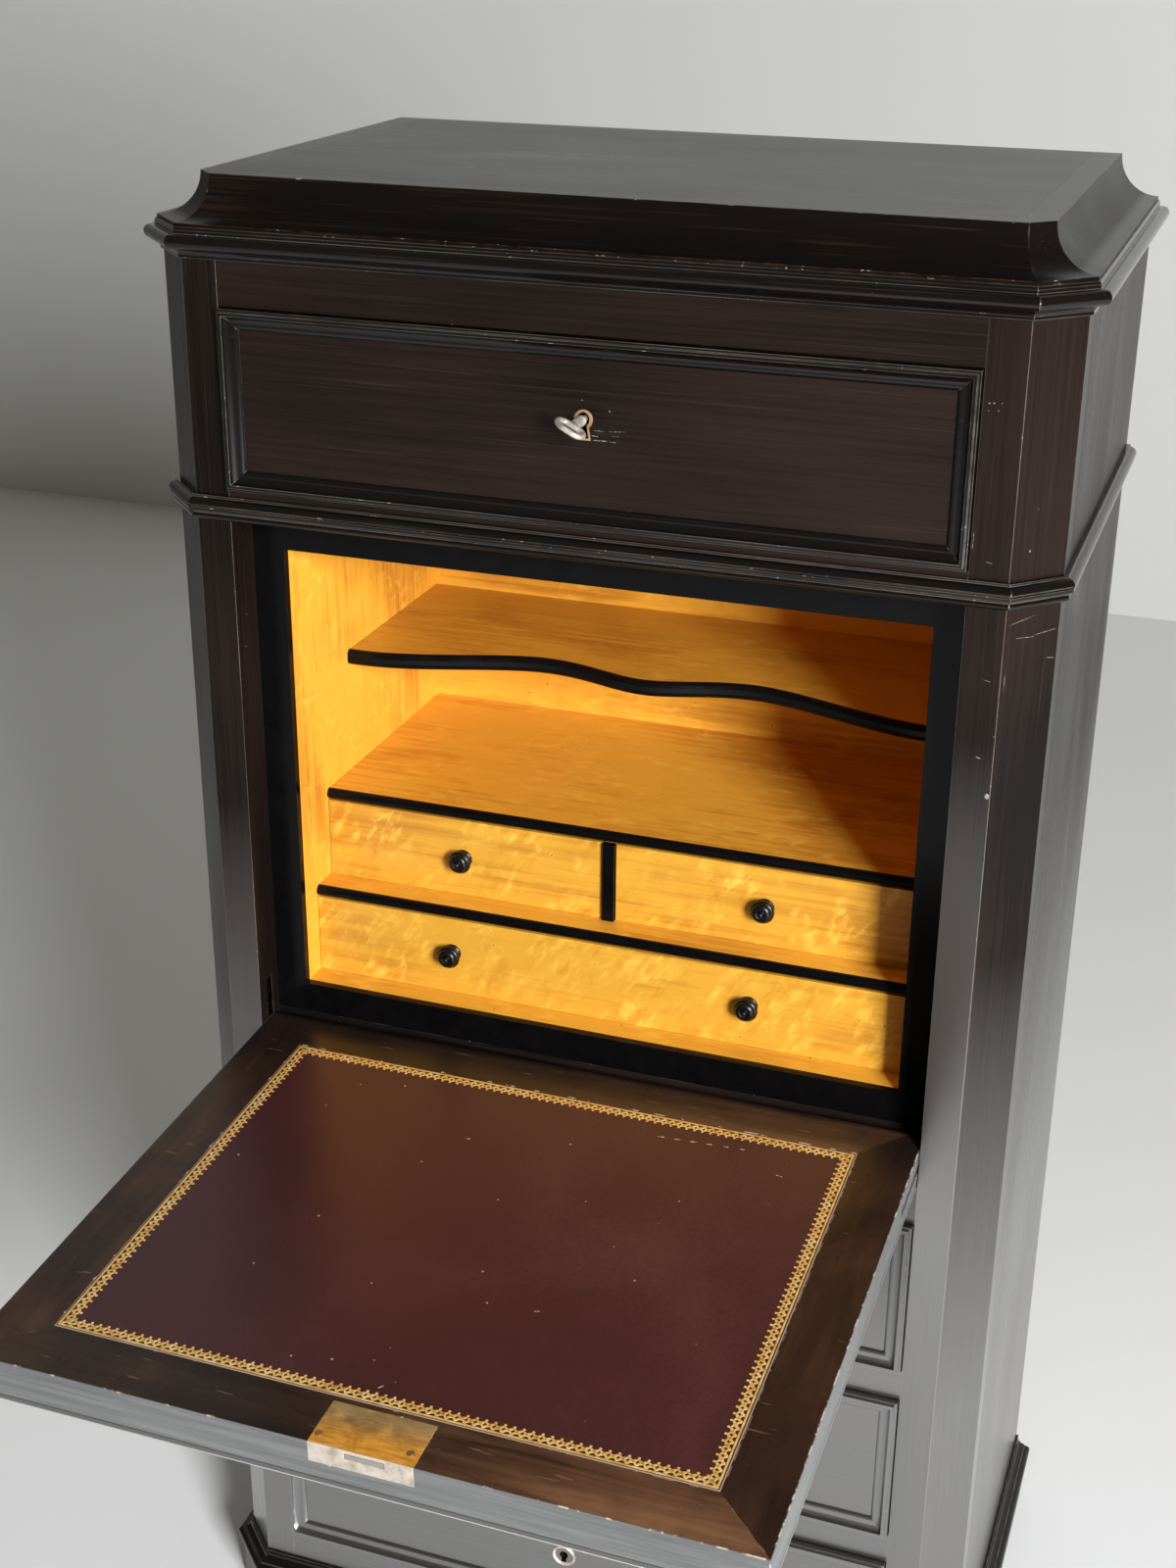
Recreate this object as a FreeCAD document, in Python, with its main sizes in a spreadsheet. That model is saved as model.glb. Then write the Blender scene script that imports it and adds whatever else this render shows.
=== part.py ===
"""Fall-front escritoire: ebonised case with canted corners, maple interior, leather-lined fall.

Frame: +X right, +Y back, +Z up, millimetres.  The origin lies on the floor under the middle of the
case.  The fall is modelled shut, on its own pivot line, and its placement lets it down.
"""
import FreeCAD
import Part
import Sketcher
import math
import os
from types import SimpleNamespace

# Driving sizes in millimetres, angles in degrees
SIZES = (
    # Case
    ("case_width", 780.0),
    ("case_depth", 464.0),
    ("cant_leg", 37.0),
    ("stile_width", 32.0),
    ("post_depth", 62.0),
    ("side_thickness", 20.0),
    ("back_thickness", 12.0),
    ("back_stile_width", 70.0),
    ("back_panel_recess", 4.0),
    ("bottom_thickness", 16.0),
    # Heights from the floor up
    ("plinth_height", 60.0),
    ("base_rail_height", 60.0),
    ("lower_drawer_height", 163.0),
    ("drawer_rail_height", 32.0),
    ("fall_rail_height", 38.5),
    ("opening_height", 540.5),
    ("middle_rail_height", 28.5),
    ("top_drawer_height", 158.0),
    ("frieze_rail_height", 63.5),
    # Plinth
    ("plinth_projection", 11.5),
    ("plinth_wall", 45.0),
    ("plinth_bearer_width", 60.0),
    ("plinth_moulding_height", 23.0),
    ("plinth_torus_seat", 12.0),
    ("plinth_torus_radius", 5.0),
    ("plinth_step", 10.5),
    ("plinth_step_height", 11.5),
    ("plinth_cove_radius", 8.5),
    ("plinth_top_fillet", 2.5),
    # String moulding over the fall
    ("string_height", 22.5),
    ("string_fillet", 4.0),
    ("string_fillet_height", 2.0),
    ("string_nose", 10.0),
    ("string_ovolo_foot", 14.5),
    ("string_ovolo_radius", 7.0),
    ("string_hollow", 6.0),
    ("string_hollow_height", 12.5),
    ("string_band", 9.0),
    ("string_band_height", 9.5),
    ("string_neck", 4.5),
    ("string_neck_height", 7.0),
    ("string_bead_foot", 1.5),
    ("string_bead_radius", 3.2),
    # Cornice
    ("cornice_height", 25.5),
    ("cornice_fillet", 2.5),
    ("cornice_fillet_height", 3.0),
    ("cornice_cove_radius", 7.5),
    ("cornice_neck", 9.0),
    ("cornice_neck_height", 8.0),
    ("cornice_torus_radius", 6.0),
    ("cornice_step", 6.0),
    ("cornice_step_height", 23.0),
    ("cornice_top", 4.6),
    ("cavetto_height", 39.0),
    ("cavetto_foot", 3.6),
    ("cavetto_fillet", 3.0),
    ("cavetto_ring", 56.0),
    ("top_board_thickness", 18.0),
    # Runners
    ("runner_lap", 26.0),
    ("runner_height", 14.0),
    ("guide_height", 20.0),
    ("runner_clearance", 0.2),
    # Fall-front
    ("fall_thickness", 37.5),
    ("fall_length", 518.0),
    ("fall_open_angle", 91.9),
    ("fall_end_gap", 1.0),
    ("fall_rest_gap", 1.0),
    ("fall_stop_gap", 0.5),
    ("fall_frame_width", 50.0),
    ("fall_rear_width", 58.5),
    ("leather_thickness", 1.5),
    ("fall_moulding_inset", 36.0),
    # Rebate frame that the fall shuts against
    ("stop_width", 30.0),
    ("stop_head_width", 33.5),
    ("stop_thickness", 8.0),
    ("floor_rise", 68.5),
    # Knife hinges
    ("hinge_thickness", 3.0),
    ("hinge_width", 10.0),
    ("hinge_arm_length", 88.0),
    ("hinge_plate_length", 60.0),
    ("hinge_pin_radius", 2.9),
    ("hinge_pin_clearance", 0.1),
    ("hinge_pin_end_gap", 0.3),
    # Fall lock
    ("fall_lock_offset", 15.0),
    ("fall_lock_width", 84.0),
    ("fall_lock_reach", 45.0),
    ("fall_lock_plate", 2.5),
    ("fall_lock_edge_depth", 18.0),
    ("fall_lock_case_width", 64.0),
    ("fall_lock_case_depth", 15.0),
    ("fall_bolt_offset", 18.0),
    ("fall_bolt_width", 31.0),
    ("fall_bolt_length", 34.0),
    ("fall_bolt_thickness", 4.5),
    ("fall_bolt_depth", 5.6),
    ("fall_keyhole_drop", 17.0),
    # Lock bolts and strikes
    ("bolt_clearance", 0.3),
    ("strike_clearance", 1.5),
    ("strike_depth", 12.0),
    # Interior
    ("lining_thickness", 10.0),
    ("floor_thickness", 20.0),
    ("ceiling_thickness", 12.0),
    ("interior_back_gap", 69.0),
    ("interior_back_thickness", 8.0),
    ("shelf_thickness", 10.5),
    ("shelf_rise", 179.5),
    ("shelf_setback", 100.8),
    ("middle_shelf_rise", 90.0),
    ("middle_shelf_setback", 69.4),
    ("serpentine_thickness", 15.0),
    ("serpentine_rise", 302.5),
    ("serpentine_setback", 157.0),
    ("serpentine_scoop", 44.0),
    ("serpentine_edge_radius", 5.0),
    ("lipping", 6.0),
    ("divider_thickness", 11.5),
    ("divider_setback", 98.0),
    ("divider_offset", -3.5),
    # Drawers of the case
    ("front_thickness", 20.0),
    ("drawer_gap", 1.0),
    ("box_gap", 1.5),
    ("box_back_gap", 37.0),
    ("box_wall", 12.0),
    ("box_bottom", 8.0),
    ("box_bottom_rise", 6.0),
    ("box_top_drop", 12.0),
    # Applied panel moulding
    ("moulding_width", 17.5),
    ("moulding_proud", 9.0),
    ("moulding_side", 6.5),
    ("moulding_outer_fillet", 2.5),
    ("moulding_crown", 5.5),
    ("moulding_cove_end", 12.5),
    ("moulding_cove_foot", 3.4),
    ("moulding_cove_radius", 7.0),
    ("moulding_bead_start", 13.5),
    ("moulding_bead_radius", 4.2),
    # Drawer locks
    ("lock_width", 60.0),
    ("lock_depth", 14.0),
    ("lock_foot", 24.0),
    ("lock_wall", 2.5),
    ("bolt_width", 18.0),
    ("bolt_thickness", 4.0),
    ("bolt_length", 34.0),
    ("top_keyhole_offset", 4.0),
    ("top_keyhole_rise", 12.0),
    ("lower_keyhole_offset", -9.0),
    ("lower_keyhole_rise", -17.0),
    ("keyhole_radius", 4.6),
    ("keyhole_slot_width", 5.4),
    ("keyhole_slot_drop", 13.0),
    # Escutcheons
    ("thread_radius", 8.0),
    ("thread_foot_half", 6.2),
    ("thread_waist_half", 4.6),
    ("thread_waist_drop", 6.5),
    ("thread_drop", 17.0),
    ("thread_wall", 1.7),
    ("thread_proud", 1.2),
    ("ring_radius", 13.0),
    ("ring_wall", 4.0),
    ("ring_proud", 2.4),
    # Key
    ("key_stem_radius", 2.6),
    ("key_stem_reach", 25.0),
    ("key_collar_radius", 4.4),
    ("key_collar_pitch", 4.2),
    ("key_collar_start", 4.0),
    ("key_bow_half_width", 11.8),
    ("key_bow_half_depth", 7.2),
    ("key_bow_wire_radius", 2.4),
    ("key_bit_width", 2.2),
    ("key_bit_reach", 8.5),
    ("key_bit_length", 5.0),
    ("key_turn", 28.0),
    ("key_clearance", 0.3),
    ("key_chamber_radius", 10.5),
    # Small drawers inside
    ("small_front_thickness", 11.0),
    ("small_front_setback", 1.4),
    ("small_gap", 0.7),
    ("small_wall", 6.0),
    ("small_bottom", 4.0),
    ("small_bottom_rise", 3.0),
    ("small_top_drop", 7.0),
    ("small_back_gap", 8.0),
    ("long_knob_offset", 146.5),
    ("long_knob_rise", 4.0),
    # Turned knobs
    ("knob_radius", 11.2),
    ("knob_length", 20.0),
    # Every cut runs past the stock by this much
    ("overrun", 5.0),
)

DRAWER_COUNT = 3
COLLAR_COUNT = 4
LEFT = -1
RIGHT = 1
# Way an arc turns on its way from one corner to the next
ANTICLOCKWISE = 1
CLOCKWISE = -1
# A line moved out by one unit shifts a half-right-angle corner by this share
CANT_SHARE = math.sqrt(2.0) - 1.0
# Half of the serpentine front: shares of the half width, and of the scoop's depth
SERPENTINE_WIDTH_SHARES = (0.0, 0.2, 0.36, 0.52, 0.68, 0.84, 1.0)
SERPENTINE_SCOOP_SHARES = (0.45, 0.79, 0.96, 0.74, 0.38, 0.08, 0.0)
# Turned knob: shares of the radius and of the length, from the drawer to the crown
KNOB_NECK_SHARES = (0.46, 0.2)
KNOB_SKIRT_SHARES = (1.0, 0.46)
KNOB_RIM_SHARES = (1.0, 0.54)
KNOB_GROOVE_SHARES = (0.86, 0.58)
KNOB_BAND_SHARES = (0.9, 0.66)
KNOB_SHOULDER_SHARES = (0.62, 0.84)
KNOB_QUIRK_SHARES = (0.5, 0.83)
KNOB_BUTTON_SHARES = (0.46, 0.9)
KNOB_CURVE_SHARE = 0.8

doc = FreeCAD.newDocument("escritoire")
sheet = doc.addObject("Spreadsheet::Sheet", "Sizes")
nodes = []


class Length:
    """A size: its number now, and the formula that ties it to the sheet."""

    def __init__(self, value, text):
        self.value = value
        self.text = text

    def __add__(self, other):
        other = as_length(other)
        return Length(self.value + other.value, f"({self.text} + {other.text})")

    def __sub__(self, other):
        other = as_length(other)
        return Length(self.value - other.value, f"({self.text} - {other.text})")

    def __mul__(self, factor):
        return Length(self.value * factor, f"({self.text} * {factor:.9f})")

    def __truediv__(self, factor):
        return Length(self.value / factor, f"({self.text} / {factor})")

    def __neg__(self):
        return Length(-self.value, f"(0 - {self.text})")


def as_length(value):
    """Zero is the one plain number that a formula may hold."""
    if isinstance(value, Length):
        return value
    if value != 0:
        raise ValueError("a bare length has no place in the sheet")
    return Length(0.0, "0")


def fill_sheet():
    """Write every driving size to its own cell and hand back the bound sizes."""
    sizes = {}
    for row, (name, value) in enumerate(SIZES, start=1):
        sheet.set(f"A{row}", name)
        sheet.set(f"B{row}", str(value))
        sheet.setAlias(f"B{row}", name)
        sizes[name] = Length(value, f"Sizes.{name}")
    doc.recompute()
    return SimpleNamespace(**sizes)


s = fill_sheet()
zero = as_length(0)

# Planes and levels that several pieces share
half_width = s.case_width / 2
front = -s.case_depth / 2
back = s.case_depth / 2
opening_half = half_width - s.cant_leg - s.stile_width
rail_back = front + s.post_depth
inner_half = half_width - s.side_thickness
inner_back = back - s.back_thickness

base_top = s.plinth_height + s.base_rail_height
drawer_pitch = s.lower_drawer_height + s.drawer_rail_height
lower_levels = [base_top + drawer_pitch * i for i in range(DRAWER_COUNT)]
fall_rail_level = lower_levels[-1] + s.lower_drawer_height
sill = fall_rail_level + s.fall_rail_height
head = sill + s.opening_height
top_drawer_level = head + s.middle_rail_height
frieze_level = top_drawer_level + s.top_drawer_height
case_top = frieze_level + s.frieze_rail_height
crown = case_top + s.cavetto_height

pivot_y = front + s.fall_thickness / 2
pivot_z = sill + s.fall_rest_gap + s.fall_thickness / 2
fall_half = opening_half - s.fall_end_gap
stop_plane = front + s.fall_thickness + s.fall_stop_gap
stop_back = stop_plane + s.stop_thickness
floor_top = sill + s.floor_rise
interior_half = opening_half - s.stop_width
ceiling_low = head - s.stop_head_width
interior_back_plane = inner_back - s.interior_back_gap - s.interior_back_thickness


def add(kind, label):
    """A new document object under its own label."""
    made = doc.addObject(kind, label)
    made.Label = label
    return made


def node(made):
    """Keep a finished sub-part for export."""
    nodes.append(made)
    return made


def bind(made, **formulas):
    """Tie properties to sheet formulas; a double underscore stands for a dot."""
    for path, length in formulas.items():
        made.setExpression(path.replace("__", "."), as_length(length).text)


def place(made, x=0, y=0, z=0):
    """Tie an object's position to the sheet."""
    bind(made, Placement__Base__x=x, Placement__Base__y=y, Placement__Base__z=z)
    return made


def block(label, x, y, z):
    """A rectangular board between low and high planes along each axis."""
    board = add("Part::Box", label)
    bind(board, Length=x[1] - x[0], Width=y[1] - y[0], Height=z[1] - z[0])
    return place(board, x[0], y[0], z[0])


def rod(label, radius, length, axis, x, y, z):
    """A round bar that starts at a point and runs along an axis."""
    bar = add("Part::Cylinder", label)
    bar.Placement = FreeCAD.Placement(FreeCAD.Vector(), FreeCAD.Rotation(FreeCAD.Vector(0, 0, 1), axis))
    bind(bar, Radius=radius, Height=length)
    return place(bar, x, y, z)


def fuse(label, pieces):
    """Several shapes as one solid."""
    joined = add("Part::MultiFuse", label)
    joined.Shapes = pieces
    joined.Refine = True
    return joined


def cut(label, stock, tools):
    """Stock less one or more tools."""
    result = add("Part::Cut", label)
    result.Base = stock
    result.Tool = tools[0] if len(tools) == 1 else fuse(label + "_tools", tools)
    result.Refine = True
    return result


def group(label, pieces):
    """Like pieces kept as separate solids of one node."""
    collected = add("Part::Compound", label)
    collected.Links = pieces
    return collected


def origin_plane(body, role):
    """One of a body's own origin planes."""
    return next(plane for plane in body.Origin.OriginFeatures if plane.Role == role)


def arc_between(start, end, radius, turn):
    """The shorter arc from start to end, with its centre on the side that the turn asks for."""
    chord = end - start
    rise = math.sqrt(max(radius ** 2 - (chord.Length / 2) ** 2, 0.0))
    normal = FreeCAD.Vector(-chord.y, chord.x, 0).normalize()
    centre = (start + end) / 2 + normal * (rise * turn)
    first, last = (start, end) if turn == ANTICLOCKWISE else (end, start)
    angles = [math.atan2(point.y - centre.y, point.x - centre.x) for point in (first, last)]
    circle = Part.Circle(centre, FreeCAD.Vector(0, 0, 1), radius)
    return Part.ArcOfCircle(circle, angles[0], angles[1])


def draw(sketch, corners, closed=True):
    """Add an outline whose every corner and radius follows the sheet.

    A corner is (u, v), or (u, v, radius, turn) where an arc leads on to the next corner.
    """
    points = [FreeCAD.Vector(corner[0].value, corner[1].value, 0) for corner in corners]
    spans = len(corners) if closed else len(corners) - 1
    ends = []
    for i in range(spans):
        start, end = points[i], points[(i + 1) % len(points)]
        if len(corners[i]) == 2:
            index = sketch.addGeometry(Part.LineSegment(start, end))
            ends.append((index, 1, 2))
            continue
        radius, turn = corners[i][2:]
        index = sketch.addGeometry(arc_between(start, end, radius.value, turn))
        ends.append((index, 1, 2) if turn == ANTICLOCKWISE else (index, 2, 1))
        tie(sketch, Sketcher.Constraint("Radius", index, radius.value), radius)
    for i in range(spans if closed else spans - 1):
        following = ends[(i + 1) % spans]
        joint = (ends[i][0], ends[i][2], following[0], following[1])
        sketch.addConstraint(Sketcher.Constraint("Coincident", *joint))
    for i, corner in enumerate(corners):
        index, place_at = ends[i][:2] if i < spans else (ends[-1][0], ends[-1][2])
        for kind, length in (("DistanceX", corner[0]), ("DistanceY", corner[1])):
            tie(sketch, Sketcher.Constraint(kind, -1, 1, index, place_at, length.value), length)


def tie(sketch, constraint, length):
    """Add a dimension and bind it to the sheet."""
    index = sketch.addConstraint(constraint)
    sketch.setExpression(f"Constraints[{index}]", length.text)


def sketch_on(body, role, name, outlines, closed=True):
    """A sketch on one of the body's origin planes."""
    sketch = body.newObject("Sketcher::SketchObject", name)
    sketch.AttachmentSupport = (origin_plane(body, role), "")
    sketch.MapMode = "FlatFace"
    for corners in outlines:
        draw(sketch, [(as_length(c[0]), as_length(c[1])) + tuple(c[2:]) for c in corners], closed)
    return sketch


def prism(label, role, outlines, low, high):
    """Pad outlines from the low to the high plane along the normal of an origin plane."""
    body = add("PartDesign::Body", label)
    sketch = sketch_on(body, role, label + "_outline", outlines)
    pad = body.newObject("PartDesign::Pad", label + "_pad")
    pad.Profile = (sketch, [""])
    bind(pad, Length=high - low)
    starts = {"XY_Plane": (0, 0, low), "XZ_Plane": (0, high, 0), "YZ_Plane": (low, 0, 0)}
    return place(body, *starts[role])


def turned(label, outline):
    """Revolve an outline of (radius, y) corners about the Y axis."""
    body = add("PartDesign::Body", label)
    sketch = sketch_on(body, "XY_Plane", label + "_outline", [outline])
    spin = body.newObject("PartDesign::Revolution", label + "_turn")
    spin.Profile = (sketch, [""])
    spin.ReferenceAxis = (sketch, ["V_Axis"])
    spin.Angle = 360.0
    return body


def swept(label, path, path_role, profile, profile_role, closed):
    """Sweep a profile along straight runs with mitred corners."""
    body = add("PartDesign::Body", label)
    spine = sketch_on(body, path_role, label + "_path", [path], closed)
    section = sketch_on(body, profile_role, label + "_profile", [profile])
    pipe = body.newObject("PartDesign::AdditivePipe", label + "_run")
    pipe.Profile = (section, [""])
    runs = len(path) if closed else len(path) - 1
    pipe.Spine = (spine, [f"Edge{i + 1}" for i in range(runs)])
    pipe.Transition = 1
    return body, section


def rectangle(low_u, low_v, high_u, high_v):
    """Four corners, anticlockwise."""
    return [(low_u, low_v), (high_u, low_v), (high_u, high_v), (low_u, high_v)]


def plan(offset):
    """The case's outline from back left round the front to back right, moved out by an offset."""
    side = half_width + offset
    cant_side = front + s.cant_leg - offset * CANT_SHARE
    cant_front = half_width - s.cant_leg + offset * CANT_SHARE
    face = front - offset
    left = [(-side, back), (-side, cant_side), (-cant_front, face)]
    right = [(cant_front, face), (side, cant_side), (side, back)]
    return left + right


def case_moulding(label, profile, level):
    """A moulding that wraps sides, cants and front; profile corners are (out, up)."""
    outline = [(-half_width - corner[0], as_length(corner[1])) + mirrored(corner[2:]) for corner in profile]
    body, section = swept(label, plan(zero), "XY_Plane", outline, "XZ_Plane", closed=False)
    section.setExpression("AttachmentOffset.Base.z", (-back).text)
    return node(place(body, z=level))


def mirrored(arc):
    """An arc's radius and turn as seen in a mirror."""
    return (arc[0], -arc[1]) if arc else ()


def panel_moulding(label, half, low, high, face):
    """The mitred moulding round a panel: step, crown, cove and bead, standing proud of the face."""
    path = [(0, low), (half, low), (half, high), (-half, high), (-half, low)]
    profile = [
        (zero, low),
        (-s.moulding_side, low),
        (-s.moulding_side, low + s.moulding_outer_fillet),
        (-s.moulding_proud, low + s.moulding_outer_fillet),
        (-s.moulding_proud, low + s.moulding_crown, s.moulding_cove_radius, ANTICLOCKWISE),
        (-s.moulding_cove_foot, low + s.moulding_cove_end),
        (-s.moulding_cove_foot, low + s.moulding_bead_start, s.moulding_bead_radius, CLOCKWISE),
        (zero, low + s.moulding_width),
    ]
    body, _section = swept(label, path, "XZ_Plane", profile, "YZ_Plane", closed=True)
    return place(body, y=face)


def mitred_frame(label, outer, inner, low, high):
    """Four members of a frame, mitred from the inner corners to the outer ones."""
    members = []
    for i, side in enumerate(("foot", "right", "head", "left")):
        j = (i + 1) % len(outer)
        corners = [outer[i], outer[j], inner[j], inner[i]]
        members.append(prism(f"{label}_{side}", "XZ_Plane", [corners], low, high))
    return members


def make_plinth():
    """A base frame with a middle bearer, and the moulding on its top edge."""
    hole_side = half_width - s.plinth_wall
    hole_front = front + s.plinth_wall
    hole_back = back - s.plinth_wall
    bearer = s.plinth_bearer_width / 2
    holes = [
        rectangle(-hole_side, hole_front, -bearer, hole_back),
        rectangle(bearer, hole_front, hole_side, hole_back),
    ]
    node(prism("plinth", "XY_Plane", [plan(s.plinth_projection)] + holes, zero, s.plinth_height))
    radius = s.plinth_torus_radius
    case_moulding("plinth_moulding", [
        (zero, zero),
        (s.plinth_torus_seat, zero, radius, ANTICLOCKWISE),
        (s.plinth_torus_seat + radius, radius, radius, ANTICLOCKWISE),
        (s.plinth_torus_seat, radius * 2),
        (s.plinth_step, radius * 2),
        (s.plinth_step, s.plinth_step_height, s.plinth_cove_radius, CLOCKWISE),
        (s.plinth_top_fillet, s.plinth_moulding_height - s.plinth_top_fillet),
        (s.plinth_top_fillet, s.plinth_moulding_height),
        (zero, s.plinth_moulding_height),
    ], s.plinth_height)


def hinge_plate(side):
    """Plate let into the post, with the pin that the fall turns on."""
    name = "left" if side == LEFT else "right"
    near = opening_half * side
    far = (opening_half + s.hinge_thickness) * side
    span = (near, far) if side == RIGHT else (far, near)
    pin_length = s.fall_end_gap + s.hinge_thickness - s.hinge_pin_end_gap
    plate = block(
        f"hinge_plate_{name}_leaf",
        span,
        (pivot_y - s.hinge_width / 2, pivot_y + s.hinge_width / 2),
        (pivot_z - s.hinge_width / 2, pivot_z + s.hinge_plate_length),
    )
    inward = FreeCAD.Vector(-side, 0, 0)
    pin = rod(f"hinge_plate_{name}_pin", s.hinge_pin_radius, pin_length, inward, near, pivot_y, pivot_z)
    return plate, fuse(f"hinge_plate_{name}", [plate, pin])


def make_carcass():
    """Posts with canted corners, sides, back, bottom and rails."""
    leaves = [hinge_plate(side) for side in (LEFT, RIGHT)]
    posts = []
    sides = []
    for side, (leaf, _plate) in zip((LEFT, RIGHT), leaves):
        name = "left" if side == LEFT else "right"
        corners = [
            (opening_half * side, front),
            ((half_width - s.cant_leg) * side, front),
            (half_width * side, front + s.cant_leg),
            (half_width * side, rail_back),
            (opening_half * side, rail_back),
        ]
        stock = prism(f"corner_post_{name}_stock", "XY_Plane", [corners], s.plinth_height, case_top)
        posts.append(cut(f"corner_post_{name}", stock, [leaf]))
        span = (inner_half, half_width) if side == RIGHT else (-half_width, -inner_half)
        sides.append(block(f"case_side_{name}", span, (rail_back, back), (s.plinth_height, case_top)))
    node(group("corner_posts", posts))
    node(group("case_sides", sides))
    node(group("hinge_plates", [plate for _leaf, plate in leaves]))
    make_back()
    bottom_high = s.plinth_height + s.bottom_thickness
    wide = (-inner_half, inner_half)
    node(block("bottom_board", wide, (rail_back, inner_back), (s.plinth_height, bottom_high)))
    across = (-opening_half, opening_half)
    node(block("base_rail", across, (front, rail_back), (s.plinth_height, base_top)))


def make_back():
    """Framed back: two sunk panels between stiles, rails and a muntin."""
    board = add("PartDesign::Body", "back_panel")
    outline = rectangle(-inner_half, s.plinth_height, inner_half, case_top)
    sketch = sketch_on(board, "XZ_Plane", "back_panel_outline", [outline])
    pad = board.newObject("PartDesign::Pad", "back_panel_pad")
    pad.Profile = (sketch, [""])
    bind(pad, Length=s.back_thickness)
    low = s.plinth_height + s.back_stile_width
    high = case_top - s.back_stile_width
    near = s.back_stile_width / 2
    far = inner_half - s.back_stile_width
    fields = [rectangle(-far, low, -near, high), rectangle(near, low, far, high)]
    sunk = sketch_on(board, "XZ_Plane", "back_panel_fields", fields)
    pocket = board.newObject("PartDesign::Pocket", "back_panel_sinking")
    pocket.Profile = (sunk, [""])
    pocket.Reversed = True
    bind(pocket, Length=s.back_panel_recess)
    node(place(board, y=back))


def strike(label, x, y, level, width, thickness):
    """A mortise in a rail for a lock bolt, opening at a level and sunk up into the rail."""
    half = width / 2 + s.strike_clearance
    thick = thickness / 2 + s.strike_clearance
    tall = (level - s.overrun, level + s.strike_depth)
    return block(label, (x - half, x + half), (y - thick, y + thick), tall)


def lock_bolt_y():
    """Middle of a drawer lock's bolt, behind the drawer front."""
    return front + s.front_thickness + s.lock_depth / 2


def make_rails():
    """Rails across the front, mortised for the lock bolts below them."""
    across = (-opening_half, opening_half)
    bolt = (s.bolt_width, s.bolt_thickness)
    rails = []
    for i in range(DRAWER_COUNT - 1):
        level = lower_levels[i] + s.lower_drawer_height
        tall = (level, lower_levels[i + 1])
        stock = block(f"drawer_rail_{i + 1}_stock", across, (front, rail_back), tall)
        hole = strike(f"drawer_rail_{i + 1}_strike", s.lower_keyhole_offset, lock_bolt_y(), level, *bolt)
        rails.append(cut(f"drawer_rail_{i + 1}", stock, [hole]))
    node(group("drawer_rails", rails))

    upstand = floor_top - s.stop_width
    corners = [
        (front, fall_rail_level),
        (rail_back, fall_rail_level),
        (rail_back, upstand),
        (stop_plane, upstand),
        (stop_plane, sill),
        (front, sill),
    ]
    stock = prism("fall_rail_stock", "YZ_Plane", [corners], *across)
    hole = strike("fall_rail_strike", s.lower_keyhole_offset, lock_bolt_y(), fall_rail_level, *bolt)
    node(cut("fall_rail", stock, [hole]))

    stock = block("middle_rail_stock", across, (front, rail_back), (head, top_drawer_level))
    bolt_y = front + s.fall_thickness - s.fall_bolt_depth
    fall_bolt = (s.fall_bolt_width, s.fall_bolt_thickness)
    hole = strike("middle_rail_strike", s.fall_bolt_offset, bolt_y, head, *fall_bolt)
    node(cut("middle_rail", stock, [hole]))

    stock = block("frieze_rail_stock", across, (front, rail_back), (frieze_level, case_top))
    hole = strike("frieze_rail_strike", s.top_keyhole_offset, lock_bolt_y(), frieze_level, *bolt)
    node(cut("frieze_rail", stock, [hole]))


def make_runners():
    """Rebated runners that carry and guide each long drawer."""
    runners = []
    for i, level in enumerate(lower_levels + [top_drawer_level]):
        for side in (LEFT, RIGHT):
            inner = (opening_half - s.runner_lap) * side
            guide = opening_half * side
            wall = inner_half * side
            corners = [
                (wall, level - s.runner_height),
                (inner, level - s.runner_height),
                (inner, level),
                (guide, level),
                (guide, level + s.guide_height),
                (wall, level + s.guide_height),
            ]
            name = "left" if side == LEFT else "right"
            label = f"drawer_runner_{i + 1}_{name}"
            runners.append(prism(label, "XZ_Plane", [corners], rail_back, inner_back))
    node(group("drawer_runners", runners))


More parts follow.
